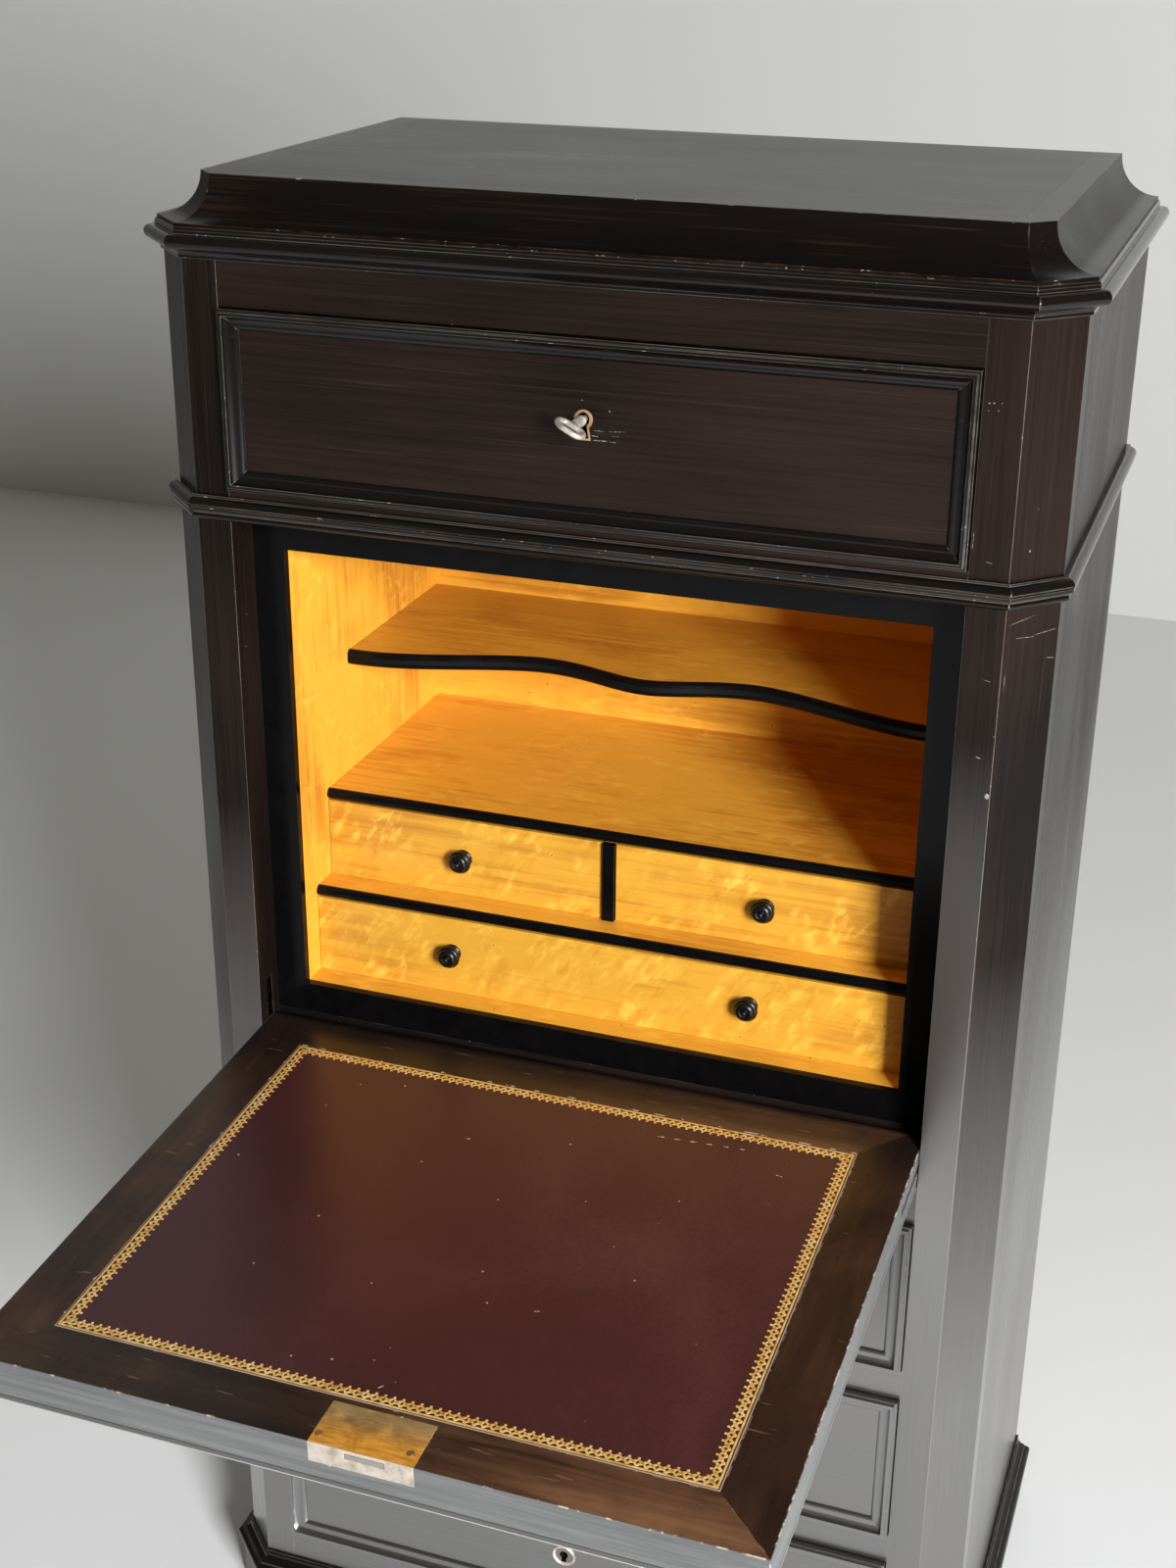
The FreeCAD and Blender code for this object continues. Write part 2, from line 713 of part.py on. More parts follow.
def make_case_mouldings():
    """String moulding over the fall, then the cornice: bed moulding, cavetto and top board."""
    case_moulding("string_moulding", [
        (zero, zero),
        (s.string_neck, s.string_bead_foot, s.string_bead_radius, ANTICLOCKWISE),
        (s.string_neck, s.string_neck_height),
        (s.string_band, s.string_band_height),
        (s.string_band, s.string_hollow_height),
        (s.string_hollow, s.string_hollow_height),
        (s.string_hollow, s.string_ovolo_foot),
        (s.string_nose, s.string_ovolo_foot, s.string_ovolo_radius, ANTICLOCKWISE),
        (s.string_fillet, s.string_height - s.string_fillet_height),
        (s.string_fillet, s.string_height),
        (zero, s.string_height),
    ], head)
    torus_top = s.cornice_neck_height + s.cornice_torus_radius * 2
    torus_middle = s.cornice_neck_height + s.cornice_torus_radius
    case_moulding("cornice_moulding", [
        (zero, zero),
        (s.cornice_fillet, zero),
        (s.cornice_fillet, s.cornice_fillet_height, s.cornice_cove_radius, CLOCKWISE),
        (s.cornice_neck, s.cornice_neck_height, s.cornice_torus_radius, ANTICLOCKWISE),
        (s.cornice_neck + s.cornice_torus_radius, torus_middle, s.cornice_torus_radius, ANTICLOCKWISE),
        (s.cornice_neck, torus_top),
        (s.cornice_step, torus_top),
        (s.cornice_step, s.cornice_step_height),
        (s.cornice_top, s.cornice_height),
        (zero, s.cornice_height),
    ], case_top - s.cornice_height)
    sweep_radius = s.cavetto_height - s.cavetto_fillet
    case_moulding("cornice_cavetto", [
        (-s.cavetto_ring, zero),
        (s.cavetto_foot, zero),
        (s.cavetto_foot, s.cavetto_fillet, sweep_radius, CLOCKWISE),
        (s.cavetto_foot - sweep_radius, s.cavetto_height),
        (-s.cavetto_ring, s.cavetto_height),
    ], case_top)
    board_low = crown - s.top_board_thickness
    board = prism("top_board_panel", "XY_Plane", [plan(-s.cavetto_ring)], board_low, crown)
    rail_half = half_width - s.cavetto_ring
    rail_front = back - s.top_board_thickness
    rail = block("top_board_rail", (-rail_half, rail_half), (rail_front, back), (case_top, board_low))
    node(group("top_board", [board, rail]))


def make_interior():
    """Rebate frame, maple linings, shelves, their ebonised edges and the divider."""
    outer = rectangle(-opening_half, floor_top - s.stop_width, opening_half, head)
    inner = rectangle(-interior_half, floor_top, interior_half, ceiling_low)
    node(group("stop_frame", mitred_frame("stop", outer, inner, stop_plane, stop_back)))

    across = (-inner_half, inner_half)
    deep = (stop_back, inner_back)
    behind_post = (rail_back, inner_back)
    tall = (floor_top, ceiling_low)
    lining_out = interior_half + s.lining_thickness
    floor_low = floor_top - s.floor_thickness
    ceiling_high = ceiling_low + s.ceiling_thickness
    for label, low, high in (
        ("interior_floor", floor_low, floor_top),
        ("interior_ceiling", ceiling_low, ceiling_high),
    ):
        wide = block(label + "_wide", across, behind_post, (low, high))
        tongue = block(label + "_tongue", (-opening_half, opening_half), deep, (low, high))
        node(fuse(label, [wide, tongue]))
    linings = (
        block("lining_left", (-lining_out, -interior_half), (stop_back, interior_back_plane), tall),
        block("lining_right", (interior_half, lining_out), (stop_back, interior_back_plane), tall),
    )
    node(group("side_linings", list(linings)))
    back_high = interior_back_plane + s.interior_back_thickness
    node(block("interior_back", (-lining_out, lining_out), (interior_back_plane, back_high), tall))

    shelves = []
    edges = []
    inside = (-interior_half, interior_half)
    for label, rise, setback in (
        ("upper_shelf", s.shelf_rise, s.shelf_setback),
        ("middle_shelf", s.middle_shelf_rise, s.middle_shelf_setback),
    ):
        top = floor_top + rise
        board_front = front + setback + s.lipping
        depth = (board_front, interior_back_plane)
        shelves.append(block(label, inside, depth, (top - s.shelf_thickness, top)))
        edges.append(rounded_edge(label + "_edge", front + setback, top, inside))
    node(group("straight_shelves", shelves))

    between = (floor_top + s.middle_shelf_rise, floor_top + s.shelf_rise - s.shelf_thickness)
    half = s.divider_thickness / 2
    divider_front = front + s.divider_setback
    divider_face = divider_front + s.lipping
    thick = (s.divider_offset - half, s.divider_offset + half)
    node(block("drawer_divider", thick, (divider_face, interior_back_plane), between))
    edges.append(block("divider_edge", thick, (divider_front, divider_face), between))
    edges.append(make_serpentine())
    node(group("shelf_lippings", edges))


def rounded_edge(label, nose, top, span):
    """A shelf's ebonised edge strip with a half-round nose."""
    radius = s.shelf_thickness / 2
    middle = top - radius
    low = top - s.shelf_thickness
    straight = nose + radius
    strip_back = nose + s.lipping
    corners = [
        (strip_back, low),
        (strip_back, top),
        (straight, top, radius, ANTICLOCKWISE),
        (nose, middle, radius, ANTICLOCKWISE),
        (straight, low),
    ]
    return prism(label, "YZ_Plane", [corners], *span)


def make_serpentine():
    """The scooped upper shelf; hands back its rounded edge strip."""
    half = interior_half.value
    nose = (front + s.serpentine_setback).value
    shares = list(zip(SERPENTINE_WIDTH_SHARES, SERPENTINE_SCOOP_SHARES))
    mirrored_shares = [(-across, scoop) for across, scoop in reversed(shares[1:])] + shares
    low = (floor_top + s.serpentine_rise - s.serpentine_thickness).value
    lift = FreeCAD.Vector(0, 0, s.serpentine_thickness.value)

    def front_curve(shift):
        scoop = s.serpentine_scoop.value
        points = [FreeCAD.Vector(half * a, nose + shift + scoop * b, low) for a, b in mirrored_shares]
        curve = Part.BSplineCurve()
        curve.interpolate(points)
        return curve.toShape()

    def board_between(shift, far_edge):
        near = front_curve(shift)
        start, end = near.Vertexes[0].Point, near.Vertexes[-1].Point
        far_start, far_end = far_edge.Vertexes[0].Point, far_edge.Vertexes[-1].Point
        wire = Part.Wire([near, Part.makeLine(end, far_end), far_edge, Part.makeLine(far_start, start)])
        return Part.Face(wire).extrude(lift)

    deep = interior_back_plane.value
    straight = Part.makeLine(FreeCAD.Vector(-half, deep, low), FreeCAD.Vector(half, deep, low))
    shelf = add("Part::Feature", "serpentine_shelf")
    shelf.Shape = board_between(s.lipping.value, straight)
    node(shelf)
    strip = board_between(0, front_curve(s.lipping.value))
    nosing = [edge for edge in strip.Edges if is_front_edge(edge, nose)]
    edge_strip = add("Part::Feature", "serpentine_edge")
    edge_strip.Shape = strip.makeFillet(s.serpentine_edge_radius.value, nosing)
    return edge_strip


def is_front_edge(edge, nose):
    """True for the two long curved edges of the strip that face the front."""
    spans_width = edge.BoundBox.XLength > interior_half.value
    return spans_width and edge.BoundBox.YMin < nose + s.lipping.value / 2


def drawer_boards(label, half, low, high, start, end, wall, bottom, rise):
    """Sides, back and bottom of a drawer as separate boards."""
    inside = half - wall
    floor = (low + rise, low + rise + bottom)
    return [
        block(label + "_side_left", (-half, -inside), (start, end), (low, high)),
        block(label + "_side_right", (inside, half), (start, end), (low, high)),
        block(label + "_back", (-inside, inside), (end - wall, end), (floor[1], high)),
        block(label + "_bottom", (-inside, inside), (start, end), floor),
    ]


def keyhole_thread(label):
    """The thin brass outline let in round a keyhole, with its round at the origin."""
    outlines = []
    for inset in (zero, s.thread_wall):
        radius = s.thread_radius - inset
        waist = s.thread_waist_half - inset
        foot = s.thread_foot_half - inset
        drop = inset - s.thread_drop
        waist_drop = inset - s.thread_waist_drop
        outlines.append([
            (-foot, drop),
            (foot, drop),
            (waist, waist_drop, radius, ANTICLOCKWISE),
            (zero, radius, radius, ANTICLOCKWISE),
            (-waist, waist_drop),
        ])
    return prism(label, "XZ_Plane", outlines, -s.thread_proud, zero)


def keyhole_ring(label):
    """A turned ring round a keyhole, standing on the drawer front."""
    inner = s.ring_radius - s.ring_wall
    crest = s.ring_wall / 2
    ring = turned(label, [
        (inner, zero),
        (s.ring_radius, zero, s.ring_wall, CLOCKWISE),
        (inner + crest, -s.ring_proud, s.ring_wall, CLOCKWISE),
    ])
    return ring


def keyhole(label, x, z, face, thickness):
    """The hole that the key goes through, from a face inward: a round with a slot under it."""
    depth = thickness + s.overrun * 2
    start = face - s.overrun
    slot = s.keyhole_slot_width / 2
    round_hole = rod(label + "_round", s.keyhole_radius, depth, FreeCAD.Vector(0, 1, 0), x, start, z)
    slot_tall = (z - s.keyhole_slot_drop, z)
    slot_hole = block(label + "_slot", (x - slot, x + slot), (start, start + depth), slot_tall)
    return [round_hole, slot_hole]


def drawer_lock(name, x, z, top, escutcheon):
    """Lock case behind the front with its bolt way and key chamber, the bolt, and the escutcheon."""
    lock_front = front + s.front_thickness
    lock_back = lock_front + s.lock_depth
    half = s.lock_width / 2
    case = block(f"{name}_lock_case", (x - half, x + half), (lock_front, lock_back), (z - s.lock_foot, top))
    bolt_half = s.bolt_width / 2
    bolt_thick = s.bolt_thickness / 2
    middle = lock_bolt_y()
    gap = s.bolt_clearance
    way = block(
        f"{name}_bolt_way",
        (x - bolt_half - gap, x + bolt_half + gap),
        (middle - bolt_thick - gap, middle + bolt_thick + gap),
        (top - s.bolt_length, top + s.overrun),
    )
    along = FreeCAD.Vector(0, 1, 0)
    chamber_start = lock_front + s.lock_wall
    chamber_depth = s.lock_depth - s.lock_wall * 2
    chamber = rod(f"{name}_chamber", s.key_chamber_radius, chamber_depth, along, x, chamber_start, z)
    stem_radius = s.key_stem_radius + s.key_clearance
    stem_way = rod(f"{name}_stem_way", stem_radius, s.overrun * 2, along, x, lock_front - s.overrun, z)
    case = cut(f"{name}_lock_body", case, [way, chamber, stem_way])
    node(group(f"{name}_lock", [case, place(escutcheon, x, front, z)]))
    bolt = block(
        f"{name}_bolt",
        (x - bolt_half, x + bolt_half),
        (middle - bolt_thick, middle + bolt_thick),
        (top - s.bolt_length, top),
    )
    node(bolt)


def make_long_drawer(name, low, height, offset, rise, escutcheon):
    """A drawer of the case: panelled front, box, lock and bolt."""
    half = opening_half - s.drawer_gap
    face_low = low + s.drawer_gap
    face_high = low + height - s.drawer_gap
    x = offset
    z = low + height / 2 + rise
    face = block(f"{name}_board", (-half, half), (front, front + s.front_thickness), (face_low, face_high))
    node(cut(f"{name}_front", face, keyhole(f"{name}_keyhole", x, z, front, s.front_thickness)))
    node(panel_moulding(f"{name}_moulding", half, face_low, face_high, front))
    start = front + s.front_thickness
    box_low = low + s.runner_clearance
    box_high = face_high - s.box_top_drop
    boards = drawer_boards(
        f"{name}_box", opening_half - s.box_gap, box_low, box_high, start, inner_back - s.box_back_gap,
        s.box_wall, s.box_bottom, s.box_bottom_rise,
    )
    node(group(f"{name}_box", boards))
    drawer_lock(name, x, z, face_high, escutcheon)


def key_bow(label):
    """The key's oval bow: a round wire bent to two straight runs and two round ends."""
    wide, deep, wire = s.key_bow_half_width, s.key_bow_half_depth, s.key_bow_wire_radius
    straight = wide - deep
    near = -s.key_stem_reach
    middle, far = near - deep, near - deep * 2
    path = [
        (0, near),
        (straight, near, deep, CLOCKWISE),
        (wide, middle, deep, CLOCKWISE),
        (straight, far),
        (-straight, far, deep, CLOCKWISE),
        (-wide, middle, deep, CLOCKWISE),
        (-straight, near),
    ]
    section = [
        (near - wire, zero, wire, ANTICLOCKWISE),
        (near, -wire, wire, ANTICLOCKWISE),
        (near + wire, zero, wire, ANTICLOCKWISE),
        (near, wire, wire, ANTICLOCKWISE),
    ]
    body, _section = swept(label, path, "XY_Plane", section, "YZ_Plane", closed=True)
    return body


def make_key():
    """A key with an oval bow and a ringed stem, standing in the top drawer's lock."""
    z = top_drawer_level + s.top_drawer_height / 2 + s.top_keyhole_rise
    bit_end = s.front_thickness + s.lock_depth - s.lock_wall - s.key_clearance
    outline = [(zero, bit_end), (zero, -s.key_stem_reach), (s.key_stem_radius, -s.key_stem_reach)]
    for i in reversed(range(COLLAR_COUNT)):
        collar = -s.key_collar_start - s.key_collar_pitch * i
        crest = collar - s.key_collar_pitch / 2
        outline.append((s.key_stem_radius, collar - s.key_collar_pitch))
        outline.append((s.key_collar_radius, crest))
    outline.append((s.key_stem_radius, -s.key_collar_start))
    outline.append((s.key_stem_radius, bit_end))
    stem = turned("drawer_key_stem", outline)
    bow = key_bow("drawer_key_bow")
    bit = block(
        "drawer_key_bit",
        (-s.key_bit_width / 2, s.key_bit_width / 2),
        (bit_end - s.key_bit_length, bit_end),
        (-s.key_bit_reach, zero),
    )
    key = fuse("drawer_key", [stem, bow, bit])
    turn = FreeCAD.Rotation(FreeCAD.Vector(0, 1, 0), s.key_turn.value)
    key.Placement = FreeCAD.Placement(FreeCAD.Vector(), turn)
    key.setExpression("Placement.Rotation.Angle", s.key_turn.text)
    node(place(key, s.top_keyhole_offset, front, z))


def turned_knob(label):
    """A ringed knob: neck, flared skirt, rim, groove, band and a button on its crown."""

    def at(shares):
        return (s.knob_radius * shares[0], -s.knob_length * shares[1])

    curve = s.knob_radius * KNOB_CURVE_SHARE
    neck = at(KNOB_NECK_SHARES)
    return turned(label, [
        (zero, zero),
        (zero, -s.knob_length),
        at(KNOB_BUTTON_SHARES),
        at(KNOB_QUIRK_SHARES),
        at(KNOB_SHOULDER_SHARES) + (curve, ANTICLOCKWISE),
        at(KNOB_BAND_SHARES),
        at(KNOB_GROOVE_SHARES),
        at(KNOB_RIM_SHARES),
        at(KNOB_SKIRT_SHARES),
        neck,
        (neck[0], zero),
    ])


def make_small_drawer(name, low_x, high_x, low, high, face, knob_places, knob_rise=zero):
    """A maple drawer of the interior with its turned knobs."""
    middle = (low_x + high_x) / 2
    half = (high_x - low_x) / 2 - s.small_gap
    face_low = low + s.runner_clearance
    face_high = high - s.small_gap
    start = face + s.small_front_thickness
    end = interior_back_plane - s.small_back_gap
    boards = [block(f"{name}_face", (-half, half), (face, start), (face_low, face_high))]
    boards += drawer_boards(
        f"{name}_box", half, face_low, face_high - s.small_top_drop, start, end,
        s.small_wall, s.small_bottom, s.small_bottom_rise,
    )
    node(place(group(name, boards), x=middle))
    knob_z = (face_low + face_high) / 2 + knob_rise
    knobs = []
    for i, offset in enumerate(knob_places):
        knobs.append(place(turned_knob(f"{name}_knob_{i + 1}"), middle + offset, face, knob_z))
    node(group(f"{name}_knobs", knobs))


def make_small_drawers():
    """Two drawers side by side over one long drawer."""
    half = s.divider_thickness / 2
    low = floor_top + s.middle_shelf_rise
    high = floor_top + s.shelf_rise - s.shelf_thickness
    face = front + s.shelf_setback + s.small_front_setback
    middle = s.divider_offset
    make_small_drawer("left_small_drawer", -interior_half, middle - half, low, high, face, [zero])
    make_small_drawer("right_small_drawer", middle + half, interior_half, low, high, face, [zero])
    high = floor_top + s.middle_shelf_rise - s.shelf_thickness
    face = front + s.middle_shelf_setback + s.small_front_setback
    knobs = [middle - s.long_knob_offset, middle + s.long_knob_offset]
    span = (-interior_half, interior_half)
    make_small_drawer("long_small_drawer", *span, floor_top, high, face, knobs, s.long_knob_rise)


def on_pivot(made):
    """Let a piece of the fall down about its pivot line."""
    axis = FreeCAD.Vector(1, 0, 0)
    made.Placement = FreeCAD.Placement(FreeCAD.Vector(), FreeCAD.Rotation(axis, s.fall_open_angle.value))
    made.setExpression("Placement.Rotation.Angle", s.fall_open_angle.text)
    return node(place(made, y=pivot_y, z=pivot_z))


def fall_lock_pieces():
    """Lock of the fall, let in flush: plate on the inner face, plate on the edge, and the case."""
    x = s.fall_lock_offset
    face = s.fall_thickness / 2
    half = s.fall_lock_width / 2
    case_half = s.fall_lock_case_width / 2
    foot = s.fall_length - s.fall_lock_reach
    full = (foot, s.fall_length)
    edge_foot = s.fall_length - s.fall_lock_plate
    edge_deep = (face - s.fall_lock_edge_depth, face)
    case_deep = (face - s.fall_lock_case_depth, face)
    return [
        block("fall_lock_face", (x - half, x + half), (face - s.fall_lock_plate, face), full),
        block("fall_lock_edge", (x - half, x + half), edge_deep, (edge_foot, s.fall_length)),
        block("fall_lock_case", (x - case_half, x + case_half), case_deep, full),
    ]


def hinge_arm(side):
    """Outline of a knife hinge's arm, let into the end of the fall."""
    name = "left" if side == LEFT else "right"
    radius = s.hinge_width / 2
    outer = fall_half * side
    inner = (fall_half - s.hinge_thickness) * side
    span = (inner, outer) if side == RIGHT else (outer, inner)
    corners = [
        (-radius, s.hinge_arm_length),
        (-radius, zero, radius, ANTICLOCKWISE),
        (zero, -radius, radius, ANTICLOCKWISE),
        (radius, zero),
        (radius, s.hinge_arm_length),
    ]
    blank = prism(f"fall_hinge_{name}_blank", "YZ_Plane", [corners], *span)
    reach = s.hinge_thickness + s.overrun * 2
    start = span[0] - s.overrun
    hole_radius = s.hinge_pin_radius + s.hinge_pin_clearance
    hole = rod(f"fall_hinge_{name}_hole", hole_radius, reach, FreeCAD.Vector(1, 0, 0), start, zero, zero)
    return blank, cut(f"fall_hinge_{name}", blank, [hole])


def make_fall():
    """The fall-front: bull-nosed mitred frame, core panel, leather, moulding, lock and hinges."""
    face = s.fall_thickness / 2
    foot = s.fall_rear_width - face
    top = s.fall_length - s.fall_frame_width
    side = fall_half - s.fall_frame_width
    outer = rectangle(-fall_half, -face, fall_half, s.fall_length)
    inner = rectangle(-side, foot, side, top)
    slab_corners = [
        (-face, zero, face, ANTICLOCKWISE),
        (zero, -face, face, ANTICLOCKWISE),
        (face, zero),
        (face, s.fall_length),
        (-face, s.fall_length),
    ]
    slab = prism("fall_slab", "YZ_Plane", [slab_corners], -fall_half, fall_half)
    lock = fall_lock_pieces()
    hinges = [hinge_arm(hand) for hand in (LEFT, RIGHT)]
    keyhole_z = s.fall_length - s.fall_keyhole_drop
    key_way = keyhole("fall_keyhole", s.fall_bolt_offset, keyhole_z, -face, s.fall_thickness / 2)
    recesses = {"right": [hinges[1][0]], "head": lock + key_way, "left": [hinges[0][0]]}
    members = []
    for member in mitred_frame("fall_frame", outer, inner, -face, face):
        nosed = add("Part::Common", member.Label + "_nosed")
        nosed.Base = member
        nosed.Tool = slab
        tools = recesses.get(member.Label.split("_")[-1])
        members.append(cut(member.Label + "_cut", nosed, tools) if tools else nosed)
    on_pivot(group("fall_frame", members))
    on_pivot(group("fall_hinges", [arm for _blank, arm in hinges]))

    bed = face - s.leather_thickness
    on_pivot(group("fall_panel", [block("fall_panel_core", (-side, side), (-face, bed), (foot, top))]))
    on_pivot(group("fall_leather", [block("fall_leather_skin", (-side, side), (bed, face), (foot, top))]))
    inset = s.fall_moulding_inset
    moulding = panel_moulding("fall_moulding_run", fall_half - inset, inset, s.fall_length - inset, -face)
    on_pivot(group("fall_moulding", [moulding]))

    bolt_half = s.fall_bolt_width / 2
    thick = s.fall_bolt_thickness / 2
    middle = face - s.fall_bolt_depth
    gap = s.bolt_clearance
    x = s.fall_bolt_offset
    bolt_foot = s.fall_length - s.fall_bolt_length
    way = block(
        "fall_bolt_way",
        (x - bolt_half - gap, x + bolt_half + gap),
        (middle - thick - gap, middle + thick + gap),
        (bolt_foot, s.fall_length + s.overrun),
    )
    case = cut("fall_lock_body", fuse("fall_lock_blank", lock), [way])
    escutcheon = place(keyhole_thread("fall_escutcheon"), x, -face, keyhole_z)
    on_pivot(group("fall_lock", [case, escutcheon]))
    bar = (x - bolt_half, x + bolt_half)
    bolt = block("fall_bolt_bar", bar, (middle - thick, middle + thick), (bolt_foot, s.fall_length))
    on_pivot(group("fall_bolt", [bolt]))


def export_nodes():
    """Refuse a failed or empty shape, then write one file per sub-part."""
    doc.recompute()
    for made in doc.Objects:
        if "Invalid" in made.State or "Error" in made.State:
            raise RuntimeError(f"{made.Label} failed to build")
    for made in nodes:
        if made.Shape.isNull() or not made.Shape.isValid() or not made.Shape.Solids:
            raise RuntimeError(f"{made.Label} has no sound solid")
    os.makedirs("parts", exist_ok=True)
    for made in nodes:
        made.Shape.exportStep(f"parts/{made.Label}.step")
    print(len(nodes), "sub-parts written")


def main():
    """Build every sub-part of the escritoire."""
    make_plinth()
    make_carcass()
    make_rails()
    make_runners()
    make_case_mouldings()
    make_interior()
    for i, level in enumerate(lower_levels):
        name = f"lower_drawer_{i + 1}"
        ring = keyhole_ring(f"{name}_escutcheon")
        lock_place = (s.lower_keyhole_offset, s.lower_keyhole_rise)
        make_long_drawer(name, level, s.lower_drawer_height, *lock_place, ring)
    thread = keyhole_thread("top_drawer_escutcheon")
    lock_place = (s.top_keyhole_offset, s.top_keyhole_rise)
    make_long_drawer("top_drawer", top_drawer_level, s.top_drawer_height, *lock_place, thread)
    make_key()
    make_small_drawers()
    make_fall()
    export_nodes()


main()
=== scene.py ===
"""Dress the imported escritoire: ebonised case, bird's-eye maple interior, tooled leather on the fall."""
import math

import bmesh
import bpy
from bpy.props import FloatProperty, FloatVectorProperty, IntProperty, PointerProperty
from mathutils import Matrix, Vector


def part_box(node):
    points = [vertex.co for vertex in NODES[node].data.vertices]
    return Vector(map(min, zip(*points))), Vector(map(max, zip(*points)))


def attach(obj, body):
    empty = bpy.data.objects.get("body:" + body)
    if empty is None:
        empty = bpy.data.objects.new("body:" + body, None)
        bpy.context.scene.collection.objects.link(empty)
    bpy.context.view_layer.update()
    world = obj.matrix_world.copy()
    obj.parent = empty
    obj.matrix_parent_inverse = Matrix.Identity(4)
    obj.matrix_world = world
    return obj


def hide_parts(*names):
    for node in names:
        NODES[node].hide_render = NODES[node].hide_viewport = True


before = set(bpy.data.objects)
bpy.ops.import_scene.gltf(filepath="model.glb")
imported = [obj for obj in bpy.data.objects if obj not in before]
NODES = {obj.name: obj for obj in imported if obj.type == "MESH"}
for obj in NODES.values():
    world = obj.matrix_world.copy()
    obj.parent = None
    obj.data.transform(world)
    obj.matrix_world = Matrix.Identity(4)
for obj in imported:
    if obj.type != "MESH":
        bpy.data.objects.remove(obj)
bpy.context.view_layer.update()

bl_info = {
    "name": "Escritoire dressing",
    "version": (1, 0, 0),
    "blender": (4, 5, 0),
    "location": "View3D > Sidebar > Escritoire",
    "description": "Finishes and fine pieces for a fall-front writing desk",
    "category": "Object",
}

# Which nodes take which finish
LOW_DRAWERS = ("lower_drawer_1", "lower_drawer_2", "lower_drawer_3")
PANEL_NODES = ("top_drawer_front", "frieze_rail", "middle_rail", "fall_panel", "plinth")
LOW_PANEL_NODES = (*(f"{drawer}_front" for drawer in LOW_DRAWERS), "drawer_rails", "fall_rail", "base_rail")
MOULDING_NODES = ("string_moulding", "cornice_moulding", "top_drawer_moulding", "fall_moulding", "plinth_moulding")
LOW_MOULDING_NODES = tuple(f"{drawer}_moulding" for drawer in LOW_DRAWERS)
BLACK_NODES = ("stop_frame", "shelf_lippings")
MAPLE_SHELF_NODES = ("interior_floor", "interior_ceiling", "straight_shelves", "interior_back")
MAPLE_DRAWER_NODES = ("long_small_drawer", "left_small_drawer", "right_small_drawer")
MAPLE_UPRIGHT_NODES = ("side_linings", "drawer_divider")
LINING_NODES = ("top_drawer_box", *(f"{drawer}_box" for drawer in LOW_DRAWERS), "drawer_runners", "bottom_board")
HINGE_NODES = ("fall_hinges", "hinge_plates")
RING_NODES = tuple(f"{drawer}_lock" for drawer in LOW_DRAWERS)
STEEL_NODES = ("fall_bolt", "top_drawer_bolt", *(f"{drawer}_bolt" for drawer in LOW_DRAWERS))

# The axis that a grain runs along
WIDE, DEEP, TALL = range(3)

# Coats of polish: the index of plain shellac, and of the gleam that the low fronts take from the floor
SHELLAC_INDEX = 1.5
GLEAM_INDEX = 3.0
COAT_ROUGHNESS = 0.3

# Where the coats fade out: the posts' front face, and the heights from full to none
POST_FRONT = -0.232
POST_FADE = (0.66, 1.14)
FRONT_FADE = (0.5, 0.84)

# Wear on the black polish, and pale arris lines that are partly wear and partly painted highlight
RUBBED_BROWN = (0.125, 0.056, 0.033)
PALE_ARRIS_WEAR_AND_HIGHLIGHT = (0.4, 0.35, 0.3)
CHIPPED_PALE = (0.56, 0.48, 0.4)
SPECK_GREY = (0.34, 0.28, 0.23)
DRAGGED_BROWN = (0.03, 0.022, 0.018)

# Marks as (x, z, turn, length, width), and how far they stand up
SCRATCH_HEIGHT = 0.00005
SCUFF_HEIGHT = 0.00006
KEYHOLE_MARKS = (
    (0.0171, 1.3630, 0.01, 0.0112, 0.0006), (0.0318, 1.3636, -0.07, 0.0182, 0.00035),
    (0.0132, 1.3585, 0.1, 0.0076, 0.0007), (0.0311, 1.3596, -0.03, 0.0066, 0.0004),
    (0.0178, 1.3551, -0.01, 0.0142, 0.0009), (0.0287, 1.3548, 0.05, 0.0067, 0.0005),
    (0.0259, 1.3796, 0.0, 0.0017, 0.0014), (0.0028, 1.3868, 0.17, 0.0014, 0.0009),
)
POST_MARKS = (
    (0.3263, 1.4126, -0.09, 0.0019, 0.0008), (0.3298, 1.4129, -0.09, 0.0017, 0.0008),
    (0.3358, 1.4134, -0.09, 0.0012, 0.0008), (0.3260, 1.4069, -0.09, 0.0011, 0.0008),
    (0.3336, 1.4074, 0.11, 0.0012, 0.0008), (0.3226, 1.3054, 1.59, 0.0149, 0.0005),
    (0.3362, 1.2888, 0.18, 0.0054, 0.0005), (0.3423, 1.1924, 0.2, 0.0059, 0.0005),
    (0.3410, 1.1263, 0.2, 0.0049, 0.0007), (0.3515, 1.1462, -0.14, 0.0016, 0.0012),
    (0.3506, 1.0938, 1.5, 0.005, 0.0038),
)
CANT_MARKS = (
    (0.1019, 1.2419, -0.21, 0.0275, 0.0004), (0.1056, 1.2270, 0.06, 0.0195, 0.0004),
    (0.1248, 1.2291, -0.12, 0.0227, 0.0004), (0.1326, 1.2063, 0.15, 0.0091, 0.0005),
    (0.0895, 1.1914, 1.58, 0.0164, 0.0004), (0.1066, 1.3309, 0.25, 0.0019, 0.0009),
)
HIDE_MARKS = (
    *((0.1004 + 0.0145 * i, 0.0713 - 0.001 * i, 0.12, 0.0075 - 0.0005 * i, 0.0016) for i in range(6)),
    (0.0, 0.448, 0.9, 0.006, 0.0011), (0.2136, 0.0936, -0.2, 0.007, 0.0012),
    (0.0798, 0.3286, 0.4, 0.005, 0.001), (-0.06, 0.13, 0.3, 0.004, 0.001),
)

# Lock screws as (x, distance from the hinge line)
SCREW_PLACES = ((-0.0222, 0.5077), (0.0491, 0.5048))
SCREW_FACETS = 24

